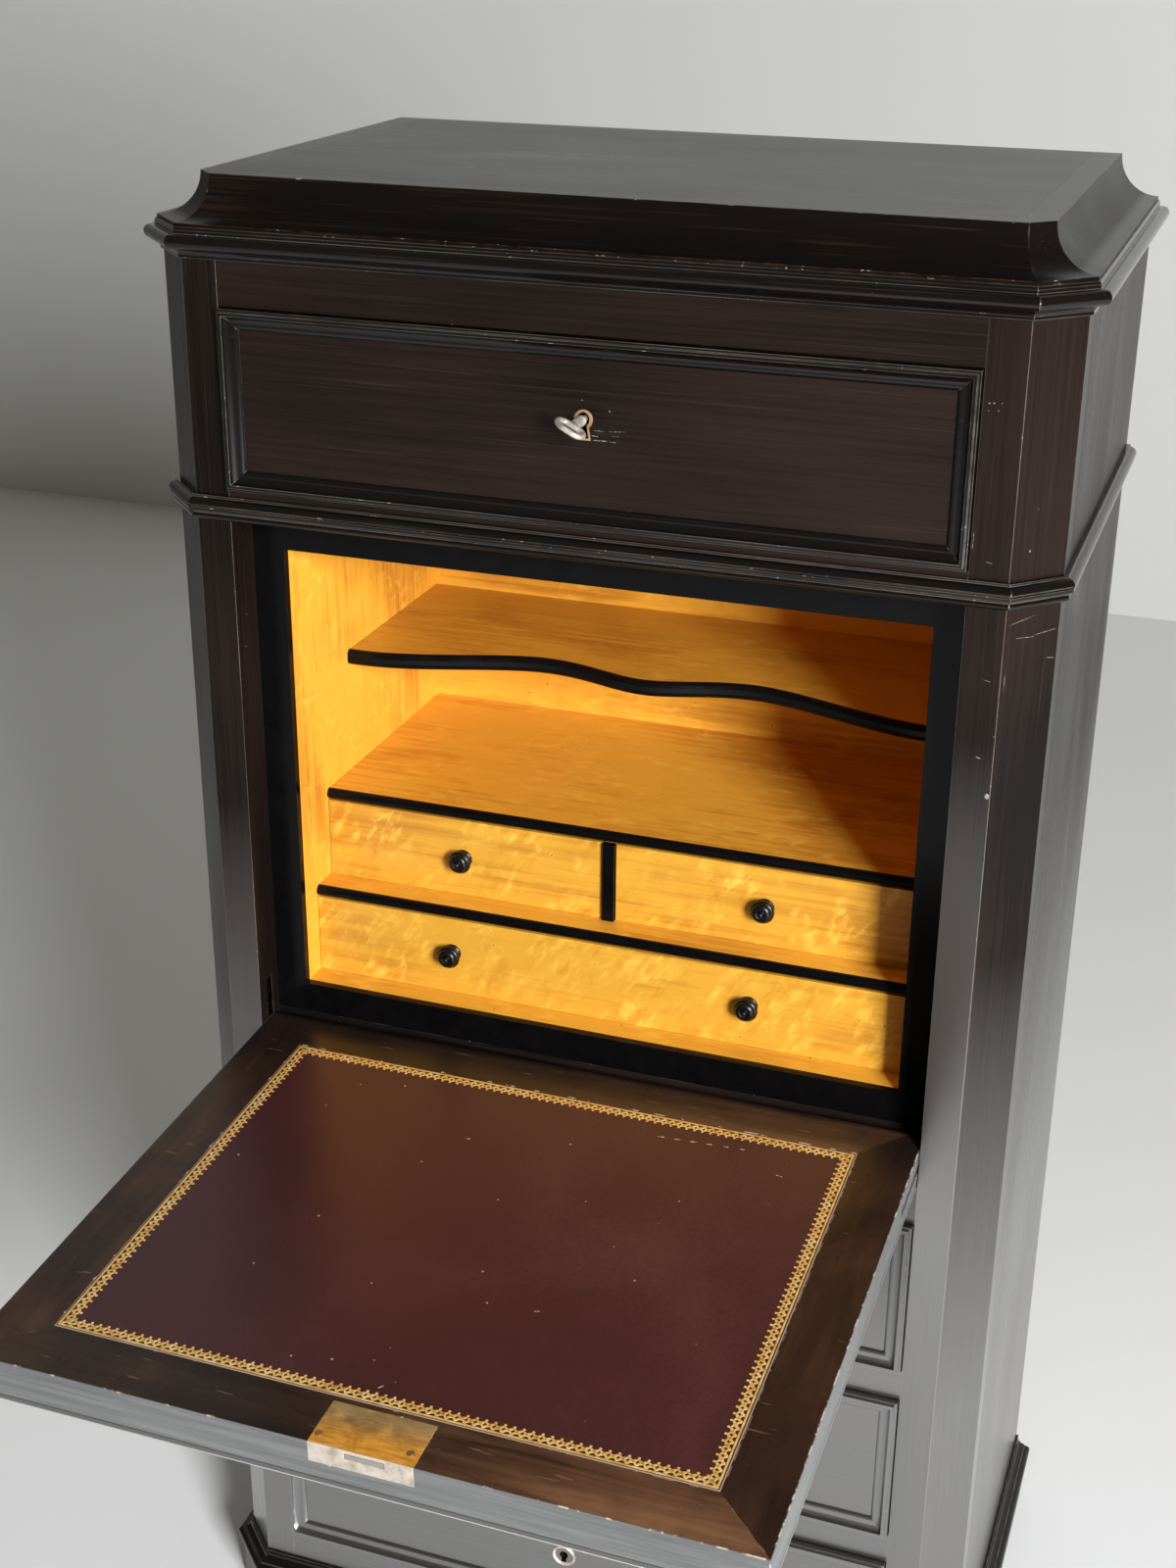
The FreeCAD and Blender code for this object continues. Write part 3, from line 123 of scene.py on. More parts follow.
# One repeat of the gold tooling as (share of the band's width, turn, length over pitch, thickness over width)
LEAVES = ((0.54, 0.62, 1.3, 0.27), (0.54, -0.62, 1.3, 0.2), (0.9, 0.0, 0.34, 0.22), (0.28, 0.0, 0.5, 0.2))

# A knob's outline as shares of its (radius, length)
KNOB_OUTLINE = (
    (0.0, 0.0), (0.74, 0.0), (0.79, 0.03), (0.8, 0.08), (0.76, 0.12), (0.66, 0.14), (0.62, 0.17), (0.66, 0.2),
    (0.78, 0.22), (0.86, 0.26), (0.87, 0.31), (0.82, 0.35), (0.75, 0.365), (0.74, 0.39), (0.82, 0.41),
    (0.94, 0.45), (1.0, 0.51), (1.0, 0.57), (0.95, 0.63), (0.86, 0.66), (0.83, 0.665), (0.82, 0.69),
    (0.83, 0.73), (0.78, 0.79), (0.68, 0.84), (0.56, 0.87), (0.46, 0.88), (0.4, 0.87), (0.35, 0.845),
    (0.29, 0.84), (0.25, 0.86), (0.24, 0.9), (0.2, 0.95), (0.13, 0.985), (0.05, 1.0), (0.0, 1.0),
)

# From a drawing that faces the viewer to the front of the case
TO_FRONT = Matrix.Diagonal((1, -1, 1, 1))


def metres(name, description, default):
    """A length."""
    return FloatProperty(name=name, description=description, default=default, unit="LENGTH")


def degrees(name, description, default):
    """An angle, given in degrees."""
    return FloatProperty(name=name, description=description, default=math.radians(default), subtype="ANGLE")


def position(name, description, default):
    """A place in the frame."""
    return FloatVectorProperty(name=name, description=description, default=default, subtype="XYZ", unit="LENGTH")


def swatch(name, description, default):
    """A colour in linear light."""
    return FloatVectorProperty(name=name, description=description, default=default, subtype="COLOR")


class EscritoireSizes(bpy.types.PropertyGroup):
    """Sizes of the fine pieces and of what they lie on."""

    knob_radius: metres("Knob radius", "Half width of a knob's rim", 0.0112)
    knob_length: metres("Knob length", "How far a knob stands out", 0.02)
    fall_pivot: position("Fall pivot", "Hinge line of the fall", (0, -0.21325, 0.73125))
    fall_angle: degrees("Fall angle", "How far the fall is let down", 91.9)
    fall_face: metres("Fall face", "From the hinge line to the inner face", 0.01875)
    fall_reach: metres("Fall reach", "From the hinge line to the front edge", 0.518)
    fall_half: metres("Fall half width", "From the middle to the fall's side", 0.32)
    fall_thickness: metres("Fall thickness", "From the inner to the outer face", 0.0375)
    leather_half: metres("Leather half width", "From the middle to the leather's side", 0.27)
    leather_foot: metres("Leather foot", "From the hinge line to the leather's rear", 0.03975)
    leather_head: metres("Leather head", "From the hinge line to the leather's front", 0.468)
    leather_thickness: metres("Leather thickness", "Thickness of the hide", 0.0015)
    leather_round: metres("Leather round", "Rounding of the hide's upper edge", 0.0006)
    gilt_height: metres("Gilt height", "How far the gold stands up", 0.00015)
    gilt_inset: metres("Gilt inset", "From the leather's edge to the tooled band", 0.0022)
    gilt_width: metres("Gilt width", "Width of the tooled band", 0.0115)
    gilt_pitch: metres("Gilt pitch", "Length of one leaf pair in the band", 0.0074)
    screw_radius: metres("Screw radius", "Half width of a lock screw's head", 0.0032)
    screw_height: metres("Screw height", "How far a lock screw's head stands up", 0.0003)
    cant_leg: metres("Cant leg", "How far a canted corner cuts into each side", 0.037)
    turn_steps: IntProperty(name="Turned steps", description="Facets round a turned piece", default=48)


class EscritoireColours(bpy.types.PropertyGroup):
    """Base colours of the finishes."""

    ebony: swatch("Ebonised", "Darkest stain of the case", (0.0042, 0.003, 0.0026))
    ebony_brown: swatch("Ebonised brown", "Stain where the wood shows through", (0.021, 0.0115, 0.0085))
    maple: swatch("Maple", "Middle tone of the maple", (0.7, 0.35, 0.035))
    maple_light: swatch("Maple light", "Light figure of the maple", (0.88, 0.52, 0.075))
    maple_dark: swatch("Maple dark", "Dark streaks of the maple", (0.47, 0.19, 0.018))
    leather: swatch("Leather", "Colour of the writing surface", (0.055, 0.0155, 0.0175))
    gilt: swatch("Gilt", "Gold leaf of the border", (0.84, 0.53, 0.15))
    brass: swatch("Brass", "Lock plate of the fall", (0.8, 0.37, 0.05))
    lining: swatch("Drawer lining", "Plain wood inside the drawers", (0.46, 0.3, 0.15))


class EscritoireStage(bpy.types.PropertyGroup):
    """Camera, light, floor and backdrop."""

    eye: position("Eye", "Camera position", (0.5643, -1.8205, 1.7908))
    azimuth: degrees("Azimuth", "Turn to the left of straight on", 19.227)
    elevation: degrees("Elevation", "Downward tilt", 23.685)
    roll: degrees("Roll", "Tilt of the frame", 0.48)
    focal_share: FloatProperty(name="Focal share", description="Focal length over the picture's height",
                               default=2175.99 / 1600)
    wall_y: metres("Wall", "Backdrop distance", 3.53)
    board_half: metres("Board half", "Half width of the floor and the backdrop", 9.0)
    floor_colour: swatch("Floor", "Paint of the floor", (0.84, 0.845, 0.84))
    wall_colour: swatch("Backdrop", "Paint of the backdrop", (0.68, 0.685, 0.672))
    lamp_place: position("Lamp", "Place of the soft lamp", (3.18, -3.86, 2.5))
    lamp_aim: position("Lamp aim", "Point that the lamp is turned to", (0, 0, 0.9))
    lamp_width: metres("Lamp width", "Width of the soft lamp", 1.2)
    lamp_height: metres("Lamp height", "Height of the soft lamp", 1.7)
    lamp_power: FloatProperty(name="Lamp power", description="Power of the lamp in watts", default=520)
    lamp_colour: swatch("Lamp colour", "Light of the lamp", (0.98, 0.985, 1.0))
    sky_colour: swatch("Sky colour", "Light from all round", (1.0, 0.94, 0.8))
    sky_strength: FloatProperty(name="Sky strength", description="Strength of the light from all round",
                                default=0.11)


class Finish:
    """One material and the nodes that make it."""

    def __init__(self, name):
        self.material = bpy.data.materials.new(name)
        self.material.use_nodes = True
        self.tree = self.material.node_tree
        self.tree.nodes.clear()
        output = self.tree.nodes.new("ShaderNodeOutputMaterial")
        self.shader = self.tree.nodes.new("ShaderNodeBsdfPrincipled")
        self.tree.links.new(self.shader.outputs["BSDF"], output.inputs["Surface"])

    def feed(self, socket, value):
        """Set a socket to a value, or link it."""
        if isinstance(value, bpy.types.NodeSocket):
            self.tree.links.new(value, socket)
        else:
            socket.default_value = value

    def add(self, kind, sockets=None, **settings):
        """A node with its settings and its sockets filled."""
        made = self.tree.nodes.new(kind)
        for name, value in settings.items():
            setattr(made, name, value)
        for key, value in (sockets or {}).items():
            self.feed(made.inputs[key], value)
        return made

    def surface(self, **sockets):
        """Fill the shader's own sockets; an underscore stands for a space."""
        for name, value in sockets.items():
            self.feed(self.shader.inputs[name.replace("_", " ")], value)

    def mapped(self, vector, scale, location, rotation=(0, 0, 0)):
        """Coordinates, stretched, moved and turned."""
        return self.add("ShaderNodeMapping", {
            "Vector": vector, "Scale": scale, "Location": location, "Rotation": rotation}).outputs["Vector"]

    def place(self, scale=(1, 1, 1), location=(0, 0, 0), rotation=(0, 0, 0)):
        """The piece's own coordinates, stretched, moved and turned."""
        return self.mapped(self.add("ShaderNodeTexCoord").outputs["Object"], scale, location, rotation)

    def leaning(self, angle, scale, location):
        """The piece's own coordinates turned about the depth axis, then stretched along the lean."""
        return self.mapped(self.place(rotation=(0, angle, 0)), scale, location)

    def parts(self, vector):
        """X, Y and Z of a vector."""
        return self.add("ShaderNodeSeparateXYZ", {0: vector}).outputs

    def facing(self):
        """The direction that a face looks in."""
        return self.add("ShaderNodeNewGeometry").outputs["Normal"]

    def noise(self, vector, scale, detail=4.0, roughness=0.55, distortion=0.0):
        """Fractal noise between 0 and 1."""
        return self.add("ShaderNodeTexNoise", {
            "Vector": vector, "Scale": scale, "Detail": detail, "Roughness": roughness,
            "Distortion": distortion}).outputs["Fac"]

    def grain(self, axis, fine, coarse, detail, roughness, distortion=0.0, location=(0, 0, 0)):
        """Noise stretched along an axis; fine and coarse are its density across and along the grain."""
        scale = tuple(coarse if i == axis else fine for i in range(3))
        return self.noise(self.place(scale, location), 1.0, detail, roughness, distortion)

    def cells(self, vector, scale):
        """Distance to the nearest of scattered points."""
        return self.add("ShaderNodeTexVoronoi", {"Vector": vector, "Scale": scale}).outputs["Distance"]

    def ramp(self, value, *stops):
        """A colour ramp through (place, colour) stops."""
        made = self.add("ShaderNodeValToRGB", {"Fac": value})
        points = made.color_ramp.elements
        while len(points) < len(stops):
            points.new(0.5)
        for point, (at, colour) in zip(points, stops):
            point.position = at
            point.color = paint(colour)
        return made.outputs["Color"]

    def span(self, value, low, high, out_low=0.0, out_high=1.0):
        """Map a range to another, held at both ends."""
        return self.add("ShaderNodeMapRange", {
            "Value": value, "From Min": low, "From Max": high, "To Min": out_low, "To Max": out_high,
        }).outputs["Result"]

    def math(self, operation, first, second=0.0):
        """One sum."""
        return self.add("ShaderNodeMath", {0: first, 1: second}, operation=operation).outputs[0]

    def times(self, first, second):
        """One value times another."""
        return self.math("MULTIPLY", first, second)

    def weigh(self, first, first_share, second, second_share):
        """Two values added in shares."""
        return self.math("ADD", self.times(first, first_share), self.times(second, second_share))

    def mix(self, factor, first, second):
        """Blend two colours."""
        return self.add("ShaderNodeMix", {0: factor, 6: paint(first), 7: paint(second)},
                        data_type="RGBA").outputs[2]

    def blend(self, factor, first, second):
        """Blend two values."""
        return self.add("ShaderNodeMix", {0: factor, 2: first, 3: second}, data_type="FLOAT").outputs[0]

    def dot(self, first, second):
        """How far one vector reaches along another."""
        return self.add("ShaderNodeVectorMath", {0: first, 1: second}, operation="DOT_PRODUCT").outputs["Value"]

    def edges(self, radius):
        """(mask, normal): 1 along sharp edges, and the normal rounded over them."""
        rounded = self.add("ShaderNodeBevel", {"Radius": radius}, samples=4).outputs["Normal"]
        return self.span(self.dot(rounded, self.facing()), 0.98, 0.925), rounded

    def along_fall(self, sizes):
        """How far a point lies from the hinge line along the let-down fall."""
        out = Vector((0, -math.sin(sizes.fall_angle), math.cos(sizes.fall_angle)))
        return self.math("SUBTRACT", self.dot(self.place(), out), out.dot(Vector(sizes.fall_pivot)))

    def under_fall(self, sizes):
        """How far a point lies below the let-down fall's writing face."""
        down = -Vector((0, math.cos(sizes.fall_angle), math.sin(sizes.fall_angle)))
        face = down.dot(Vector(sizes.fall_pivot)) - sizes.fall_face
        return self.math("SUBTRACT", self.dot(self.place(), down), face)

    def bump(self, height, strength, distance, normal=None):
        """Relief from a height."""
        sockets = {"Height": height, "Strength": strength, "Distance": distance}
        if normal is not None:
            sockets["Normal"] = normal
        return self.add("ShaderNodeBump", sockets).outputs["Normal"]


def paint(value):
    """A colour with its alpha, or a link as it is."""
    if isinstance(value, bpy.types.NodeSocket):
        return value
    return (*value, 1.0)


def toned(colour, share):
    """A colour made lighter or darker."""
    return tuple(share * part for part in colour)


def ebonised(name, axis, colours, brown=0.5, roughness=(0.22, 0.36), wear=0.5, gloss=(1.5, 0.15), arris=0.0012,
             relief=0.16, wear_and_highlight_lines=0.0):
    """Black-stained, French-polished wood: streaks along the grain, rubbed edges, specks and scratches.

    The gloss is its index and specular level, the arris how wide an edge wears, and the line strength how pale the
    arrises get, partly as wear and partly as painted highlight.
    """
    f = Finish(name)
    streaks = f.grain(axis, 330, 5, 5.0, 0.6, 0.2)
    clouds = f.grain(axis, 6, 2.2, 3.0, 0.5, 0.6)
    pores = f.grain(axis, 900, 22, 2.0, 0.5)
    shade = f.weigh(streaks, 0.4, clouds, 0.6)
    colour = f.ramp(f.span(shade, 0.62 - 0.35 * brown, 0.72), (0.0, colours.ebony), (1.0, colours.ebony_brown))
    edge, rounded = f.edges(arris)
    worn = f.times(edge, f.span(f.noise(f.place(), 38.0, 5.0, 0.65), 0.62 - 0.16 * wear, 0.72))
    colour = f.mix(worn, colour, RUBBED_BROWN)
    # Pale lines along the arrises: partly wear, partly a painted highlight where light would catch the rounded edges
    if wear_and_highlight_lines:
        broken = f.grain(axis, 60, 7, 4.0, 0.6, location=(0.2, 0.5, 0.3))
        colour = f.mix(f.times(edge, f.span(broken, 0.36, 0.6, 0.3 * wear_and_highlight_lines, wear_and_highlight_lines)), colour, PALE_ARRIS_WEAR_AND_HIGHLIGHT)
    nick = f.noise(f.place(location=(3.1, 1.7, 0.4)), 130.0, 3.0, 0.6)
    chipped = f.times(edge, f.span(nick, 0.7 - 0.06 * wear, 0.72 - 0.05 * wear))
    colour = f.mix(chipped, colour, CHIPPED_PALE)
    scatter = f.place(location=(0.3, 0.9, 0.2))
    speck = f.span(f.cells(scatter, 34.0), 0.04, 0.02)
    chosen = f.span(f.noise(scatter, 9.0, 1.0), 0.6, 0.64)
    colour = f.mix(f.times(speck, chosen), colour, SPECK_GREY)
    hair = f.grain(axis, 620, 6, 1.0, 0.4, location=(0.7, 0.2, 0.5))
    colour = f.mix(f.span(hair, 0.68, 0.74, 0.0, 0.35), colour, DRAGGED_BROWN)
    polish = f.math("ADD", f.span(shade, 0.35, 0.65, *roughness), f.times(worn, 0.15))
    height = f.weigh(pores, 0.5, streaks, 0.5)
    f.surface(Base_Color=colour, Roughness=polish, Normal=f.bump(height, relief, 0.0006, rounded), IOR=gloss[0],
              Specular_IOR_Level=gloss[1])
    return f


def polished_upright(name, colours, shine, drop, index):
    """Posts and sides: the polish is thick near the foot and worn thin above, and the arrises carry pale lines,
    partly wear and partly painted highlight.

    Behind the front face it thins out lower down, by the drop, and on the left lower than on the right.
    """
    f = ebonised(name, TALL, colours, brown=0.6, wear=0.7, gloss=(1.38, shine), arris=0.0009, wear_and_highlight_lines=0.6)
    axes = f.parts(f.place())
    behind = f.span(axes["Y"], POST_FRONT + 0.0002, POST_FRONT + 0.001, 0.0, drop)
    lost = f.math("ADD", behind, f.span(axes["X"], -0.33, 0.33, 0.16, 0.0))
    f.surface(Coat_Weight=f.span(f.math("ADD", axes["Z"], lost), *POST_FADE, 1.0, 0.0),
              Coat_Roughness=COAT_ROUGHNESS, Coat_IOR=index)
    return f


def floor_gleam(f):
    """Polish on the low fronts that takes up more of the floor's light the lower it stands."""
    f.surface(Coat_Weight=f.span(f.parts(f.place())["Z"], *FRONT_FADE, 1.0, 0.0),
              Coat_Roughness=COAT_ROUGHNESS, Coat_IOR=GLEAM_INDEX)
    return f


def hollow_cornice(name, colours):
    """The cornice's hollow, with the polish of the top board on its flat upper side."""
    f = ebonised(name, WIDE, colours, brown=0.2, roughness=(0.28, 0.38), wear=1.2, gloss=(1.3, 0.2), arris=0.0014)
    f.surface(Coat_Weight=f.span(f.parts(f.facing())["Z"], 0.9, 0.97, 0.0, 0.5),
              Coat_Roughness=COAT_ROUGHNESS, Coat_IOR=1.27)
    return f


def black_gloss(name, shine, roughness, arris):
    """Deep black edge strips and turned knobs."""
    f = Finish(name)
    clouds = f.noise(f.place(), 60.0)
    edge, rounded = f.edges(arris)
    worn = f.times(edge, f.span(f.noise(f.place(), 90.0), 0.58, 0.72))
    black = f.ramp(clouds, (0.3, (0.002, 0.002, 0.0021)), (0.7, (0.0034, 0.003, 0.003)))
    f.surface(Base_Color=f.mix(worn, black, (0.05, 0.028, 0.018)),
              Roughness=f.span(clouds, 0.3, 0.7, roughness - 0.03, roughness + 0.03),
              Normal=f.bump(clouds, 0.04, 0.0004, rounded), Specular_IOR_Level=shine)
    return f


def birds_eye_maple(name, axis, colours, tone_and_painted_light, figure, lean=0.0):
    """Golden maple: drifts of leaning light flecks, fine grain, pinpoint eyes and a polished skin."""
    f = Finish(name)
    # The tone scales the maple's colours per group, partly as painted light and painted shade
    middle, pale, deep = (toned(shade, tone_and_painted_light) for shade in (colours.maple, colours.maple_light, colours.maple_dark))
    grain = f.grain(axis, 150, 6, 5.0, 0.6, 0.3)
    fleck = f.noise(f.leaning(lean, (50, 90, 115), (0.3, 0.1, 0.2)), 1.0, 2.5, 0.55, 0.4)
    drift = f.noise(f.leaning(lean, (14, 16, 22), (0.4, 0.1, 0.8)), 1.0, 3.0, 0.55, 0.7)
    warm = f.grain(axis, 9, 4, 3.0, 0.5, 0.8, (0.8, 0.3, 0.5))
    colour = f.ramp(f.weigh(warm, 0.6, grain, 0.4), (0.36, deep), (0.5, middle), (0.68, middle))
    light = f.times(f.span(fleck, 0.5, 0.68), f.span(drift, 0.42, 0.62))
    colour = f.mix(f.times(light, 0.95 * figure), colour, pale)
    shade = f.times(f.span(fleck, 0.46, 0.3), f.span(drift, 0.36, 0.62))
    colour = f.mix(f.times(shade, 0.5 * figure), colour, deep)
    scatter = f.place(location=(0.2, 0.6, 0.1))
    spread = f.cells(scatter, 80.0)
    crowd = f.span(f.noise(scatter, 13.0, 2.0), 0.54, 0.6)
    halo = f.times(f.span(spread, 0.26, 0.12), crowd)
    colour = f.mix(f.times(halo, 0.4 * figure), colour, pale)
    eye = f.times(f.span(spread, 0.11, 0.06), crowd)
    colour = f.mix(f.times(eye, 0.85), colour, (0.12, 0.045, 0.006))
    line = f.grain(axis, 300, 4, 3.0, 0.6, location=(0.9, 0.3, 0.2))
    colour = f.mix(f.times(f.span(line, 0.58, 0.72), 0.4), colour, deep)
    edge, rounded = f.edges(0.0008)
    worn = f.times(edge, f.span(f.noise(f.place(), 70.0), 0.5, 0.7))
    colour = f.mix(f.times(worn, 0.5), colour, (0.2, 0.08, 0.015))
    f.surface(Base_Color=colour, Roughness=f.span(fleck, 0.3, 0.7, 0.3, 0.42),
              Normal=f.bump(f.weigh(fleck, 0.4, grain, 0.3), 0.08, 0.0008, rounded), Specular_IOR_Level=0.4)
    return f


def plain_lining(name, axis, cross_axis, colours):
    """Unpolished drawer and carcass wood: grain along each board and across those that face front, dust, wear."""
    f = Finish(name)
    crossing = f.span(f.math("ABSOLUTE", f.parts(f.facing())["Y"]), 0.6, 0.7)
    runs = (axis, cross_axis)
    grain = f.blend(crossing, *(f.grain(run, 130, 4, 6.0, 0.6, 0.5) for run in runs))
    ring = f.blend(crossing, *(f.grain(run, 24, 1.2, 4.0, 0.5, 1.5) for run in runs))
    colour = f.ramp(f.weigh(grain, 0.5, ring, 0.5), (0.32, (0.2, 0.11, 0.05)), (0.5, colours.lining),
                    (0.68, (0.56, 0.4, 0.22)))
    edge, rounded = f.edges(0.0012)
    stain = f.span(f.noise(f.place(), 5.0), 0.48, 0.7)
    colour = f.mix(f.times(stain, 0.45), colour, (0.14, 0.08, 0.04))
    colour = f.mix(f.times(edge, 0.35), colour, (0.16, 0.09, 0.045))
    f.surface(Base_Color=colour, Roughness=f.span(grain, 0.3, 0.7, 0.58, 0.78),
              Normal=f.bump(grain, 0.2, 0.0008, rounded), Specular_IOR_Level=0.35)
    return f


def fall_timber(name, sizes, colours):
    """The fall's frame: each member grained along itself, rubbed brown, chipped along the front edge, with the front
    edge and ends painted grey as a painted reflection.
    """
    f = Finish(name)
    axes = f.parts(f.place())
    across = f.math("ABSOLUTE", axes["X"])
    head, under = f.along_fall(sizes), f.under_fall(sizes)
    reach, half, thickness = sizes.fall_reach, sizes.fall_half, sizes.fall_thickness

    # Which member a point lies on, told by the mitres
    aside = f.math("SUBTRACT", across, sizes.leather_half)
    past_front = f.math("SUBTRACT", sizes.fall_pivot[1] - sizes.leather_head, axes["Y"])
    past_rear = f.math("ADD", axes["Y"], sizes.leather_foot - sizes.fall_pivot[1])
    mitre = f.math("SUBTRACT", aside, f.math("MAXIMUM", past_front, f.times(past_rear, 0.85)))
    side = f.span(mitre, -0.0003, 0.0003)

    # The writing side
    front_grain = f.grain(WIDE, 70, 6, 6.0, 0.6, 0.6)
    side_grain = f.grain(DEEP, 70, 6, 6.0, 0.6, 0.6, (0.4, 0.2, 0.0))
    patch = f.noise(f.place(location=(0.2, 0.7, 0.0)), 6.0, 4.0, 0.55, 0.8)
    front_tone = f.weigh(front_grain, 0.45, patch, 0.55)
    side_tone = f.weigh(side_grain, 0.4, patch, 0.6)
    dark_end = f.ramp(front_tone, (0.36, (0.013, 0.008, 0.0062)), (0.5, (0.028, 0.0155, 0.0105)),
                      (0.66, (0.055, 0.03, 0.018)))
    brown_end = f.ramp(front_tone, (0.36, (0.04, 0.02, 0.012)), (0.5, (0.13, 0.06, 0.03)),
                       (0.66, (0.24, 0.125, 0.06)))
    rubbed = f.span(f.math("ADD", axes["X"], f.times(patch, 0.12)), 0.02, 0.24)
    side_colour = f.ramp(side_tone, (0.36, (0.014, 0.0085, 0.0065)), (0.5, (0.033, 0.0165, 0.0105)),
                         (0.68, (0.075, 0.036, 0.017)))
    colour = f.mix(side, f.mix(rubbed, dark_end, brown_end), side_colour)
    colour = f.mix(f.times(f.span(axes["Y"], -0.3, -0.24), 0.6), colour, (0.012, 0.008, 0.0065))
    seam = f.span(f.math("ABSOLUTE", mitre), 0.0006, 0.0002, 0.0, 0.7)
    colour = f.mix(seam, colour, (0.008, 0.005, 0.004))

    # The black outer side, and wear on both
    outer = f.ramp(f.blend(side, front_tone, side_tone), (0.4, colours.ebony), (0.7, colours.ebony_brown))
    colour = f.mix(f.span(under, thickness - 0.0005, thickness - 0.0003), colour, outer)
    edge, rounded = f.edges(0.0012)
    worn = f.times(edge, f.span(f.noise(f.place(), 55.0, 5.0, 0.65), 0.5, 0.62))
    colour = f.mix(worn, colour, (0.2, 0.08, 0.045))
    nick = f.noise(f.place(location=(1.3, 2.7, 0.4)), 95.0, 3.0, 0.6)
    nick = f.math("ADD", nick, f.span(axes["X"], 0.02, 0.22, -0.06, 0.05))
    chipped = f.times(f.edges(0.0022)[0], f.span(nick, 0.55, 0.6))
    colour = f.mix(chipped, colour, (0.7, 0.56, 0.45))
    scratch = f.noise(f.place((30, 260, 1), rotation=(0, 0, 0.5)), 1.0, 2.0, 0.5)
    colour = f.mix(f.times(f.span(scratch, 0.7, 0.74), 0.35), colour, (0.3, 0.2, 0.13))

    # The grey front edge and ends, a painted reflection, with the joint of the outer facing and a painted highlight
    # along the outer arris
    outside = f.math("MAXIMUM", f.span(head, reach - 0.0006, reach - 0.0002),
                     f.span(across, half - 0.0007, half - 0.0003))
    brushed = f.noise(f.place((9, 9, 240)), 1.0, 4.0, 0.6)
    grey = f.ramp(brushed, (0.3, (0.085, 0.088, 0.088)), (0.7, (0.15, 0.152, 0.15)))
    grey = f.mix(f.span(under, 0.0315, 0.0325), grey, (0.075, 0.074, 0.073))
    joint = f.math("ABSOLUTE", f.math("SUBTRACT", under, 0.0322))
    grey = f.mix(f.span(joint, 0.0008, 0.0003), grey, (0.03, 0.029, 0.028))
    # A pale band along the outer arris: a painted highlight
    grey = f.mix(f.span(under, thickness - 0.0011, thickness - 0.0007), grey, (0.4, 0.39, 0.37))
    colour = f.mix(f.times(outside, f.math("SUBTRACT", 1.0, chipped)), colour, grey)
    f.surface(Base_Color=colour, Roughness=f.span(patch, 0.3, 0.7, 0.22, 0.36),
              Normal=f.bump(front_grain, 0.06, 0.0006, rounded), IOR=SHELLAC_INDEX, Specular_IOR_Level=0.35)
    return f


def tooled_leather(name, colours, sizes):
    """Burgundy hide with a fine pebble, pale cut edges and specks."""
    f = Finish(name)
    pebble = f.cells(f.place(), 900.0)
    cloud = f.noise(f.place(location=(0.5, 0.2, 0.0)), 5.0, 4.0, 0.55, 0.5)
    fine = f.noise(f.place(), 260.0, 3.0)
    colour = f.ramp(f.weigh(cloud, 0.7, fine, 0.3), (0.35, (0.042, 0.012, 0.0145)), (0.52, colours.leather),
                    (0.7, (0.083, 0.026, 0.024)))
    scatter = f.place(location=(0.1, 0.4, 0.0))
    speck = f.times(f.span(f.cells(scatter, 48.0), 0.06, 0.03), f.span(f.noise(scatter, 14.0, 1.0), 0.47, 0.54))
    colour = f.mix(speck, colour, (0.5, 0.38, 0.32))
    axes = f.parts(f.place())
    aside = f.math("SUBTRACT", sizes.leather_half, f.math("ABSOLUTE", axes["X"]))
    fore = f.math("SUBTRACT", axes["Y"], sizes.fall_pivot[1] - sizes.leather_head)
    aft = f.math("SUBTRACT", sizes.fall_pivot[1] - sizes.leather_foot, axes["Y"])
    margin = f.math("MINIMUM", aside, f.math("MINIMUM", fore, aft))
    colour = f.mix(f.span(margin, 0.0013, 0.0009), colour, (0.36, 0.27, 0.2))
    f.surface(Base_Color=colour, Roughness=f.span(cloud, 0.3, 0.7, 0.3, 0.42),
              Normal=f.bump(pebble, 0.1, 0.0003), Specular_IOR_Level=0.5)
    return f


def gold_leaf(name, colours):
    """Gold leaf pressed into the leather, rubbed thin here and there."""
    f = Finish(name)
    rub = f.noise(f.place(), 120.0)
    colour = f.ramp(rub, (0.3, (0.62, 0.34, 0.08)), (0.5, colours.gilt), (0.72, (0.95, 0.72, 0.34)))
    f.surface(Base_Color=colour, Metallic=0.25, Roughness=f.span(rub, 0.3, 0.7, 0.3, 0.45))
    return f


def dull_metal(name, tint, metal):
    """Old brass or nickel: brown tarnish in patches, brushed wear and rounded edges."""
    f = Finish(name)
    brushed = f.noise(f.place((40, 900, 900)), 1.0, 3.0, 0.6)
    tarnish = f.noise(f.place(), 65.0, 5.0, 0.6, 0.6)
    colour = f.ramp(f.weigh(brushed, 0.25, tarnish, 0.75), (0.32, toned(tint, 0.45)), (0.5, tint),
                    (0.72, tuple(min(part, 0.95) for part in toned(tint, 1.3))))
    _edge, rounded = f.edges(0.0006)
    f.surface(Base_Color=colour, Metallic=metal, Roughness=f.span(tarnish, 0.3, 0.7, 0.24, 0.42),
              Normal=f.bump(brushed, 0.1, 0.0003, rounded))
    return f


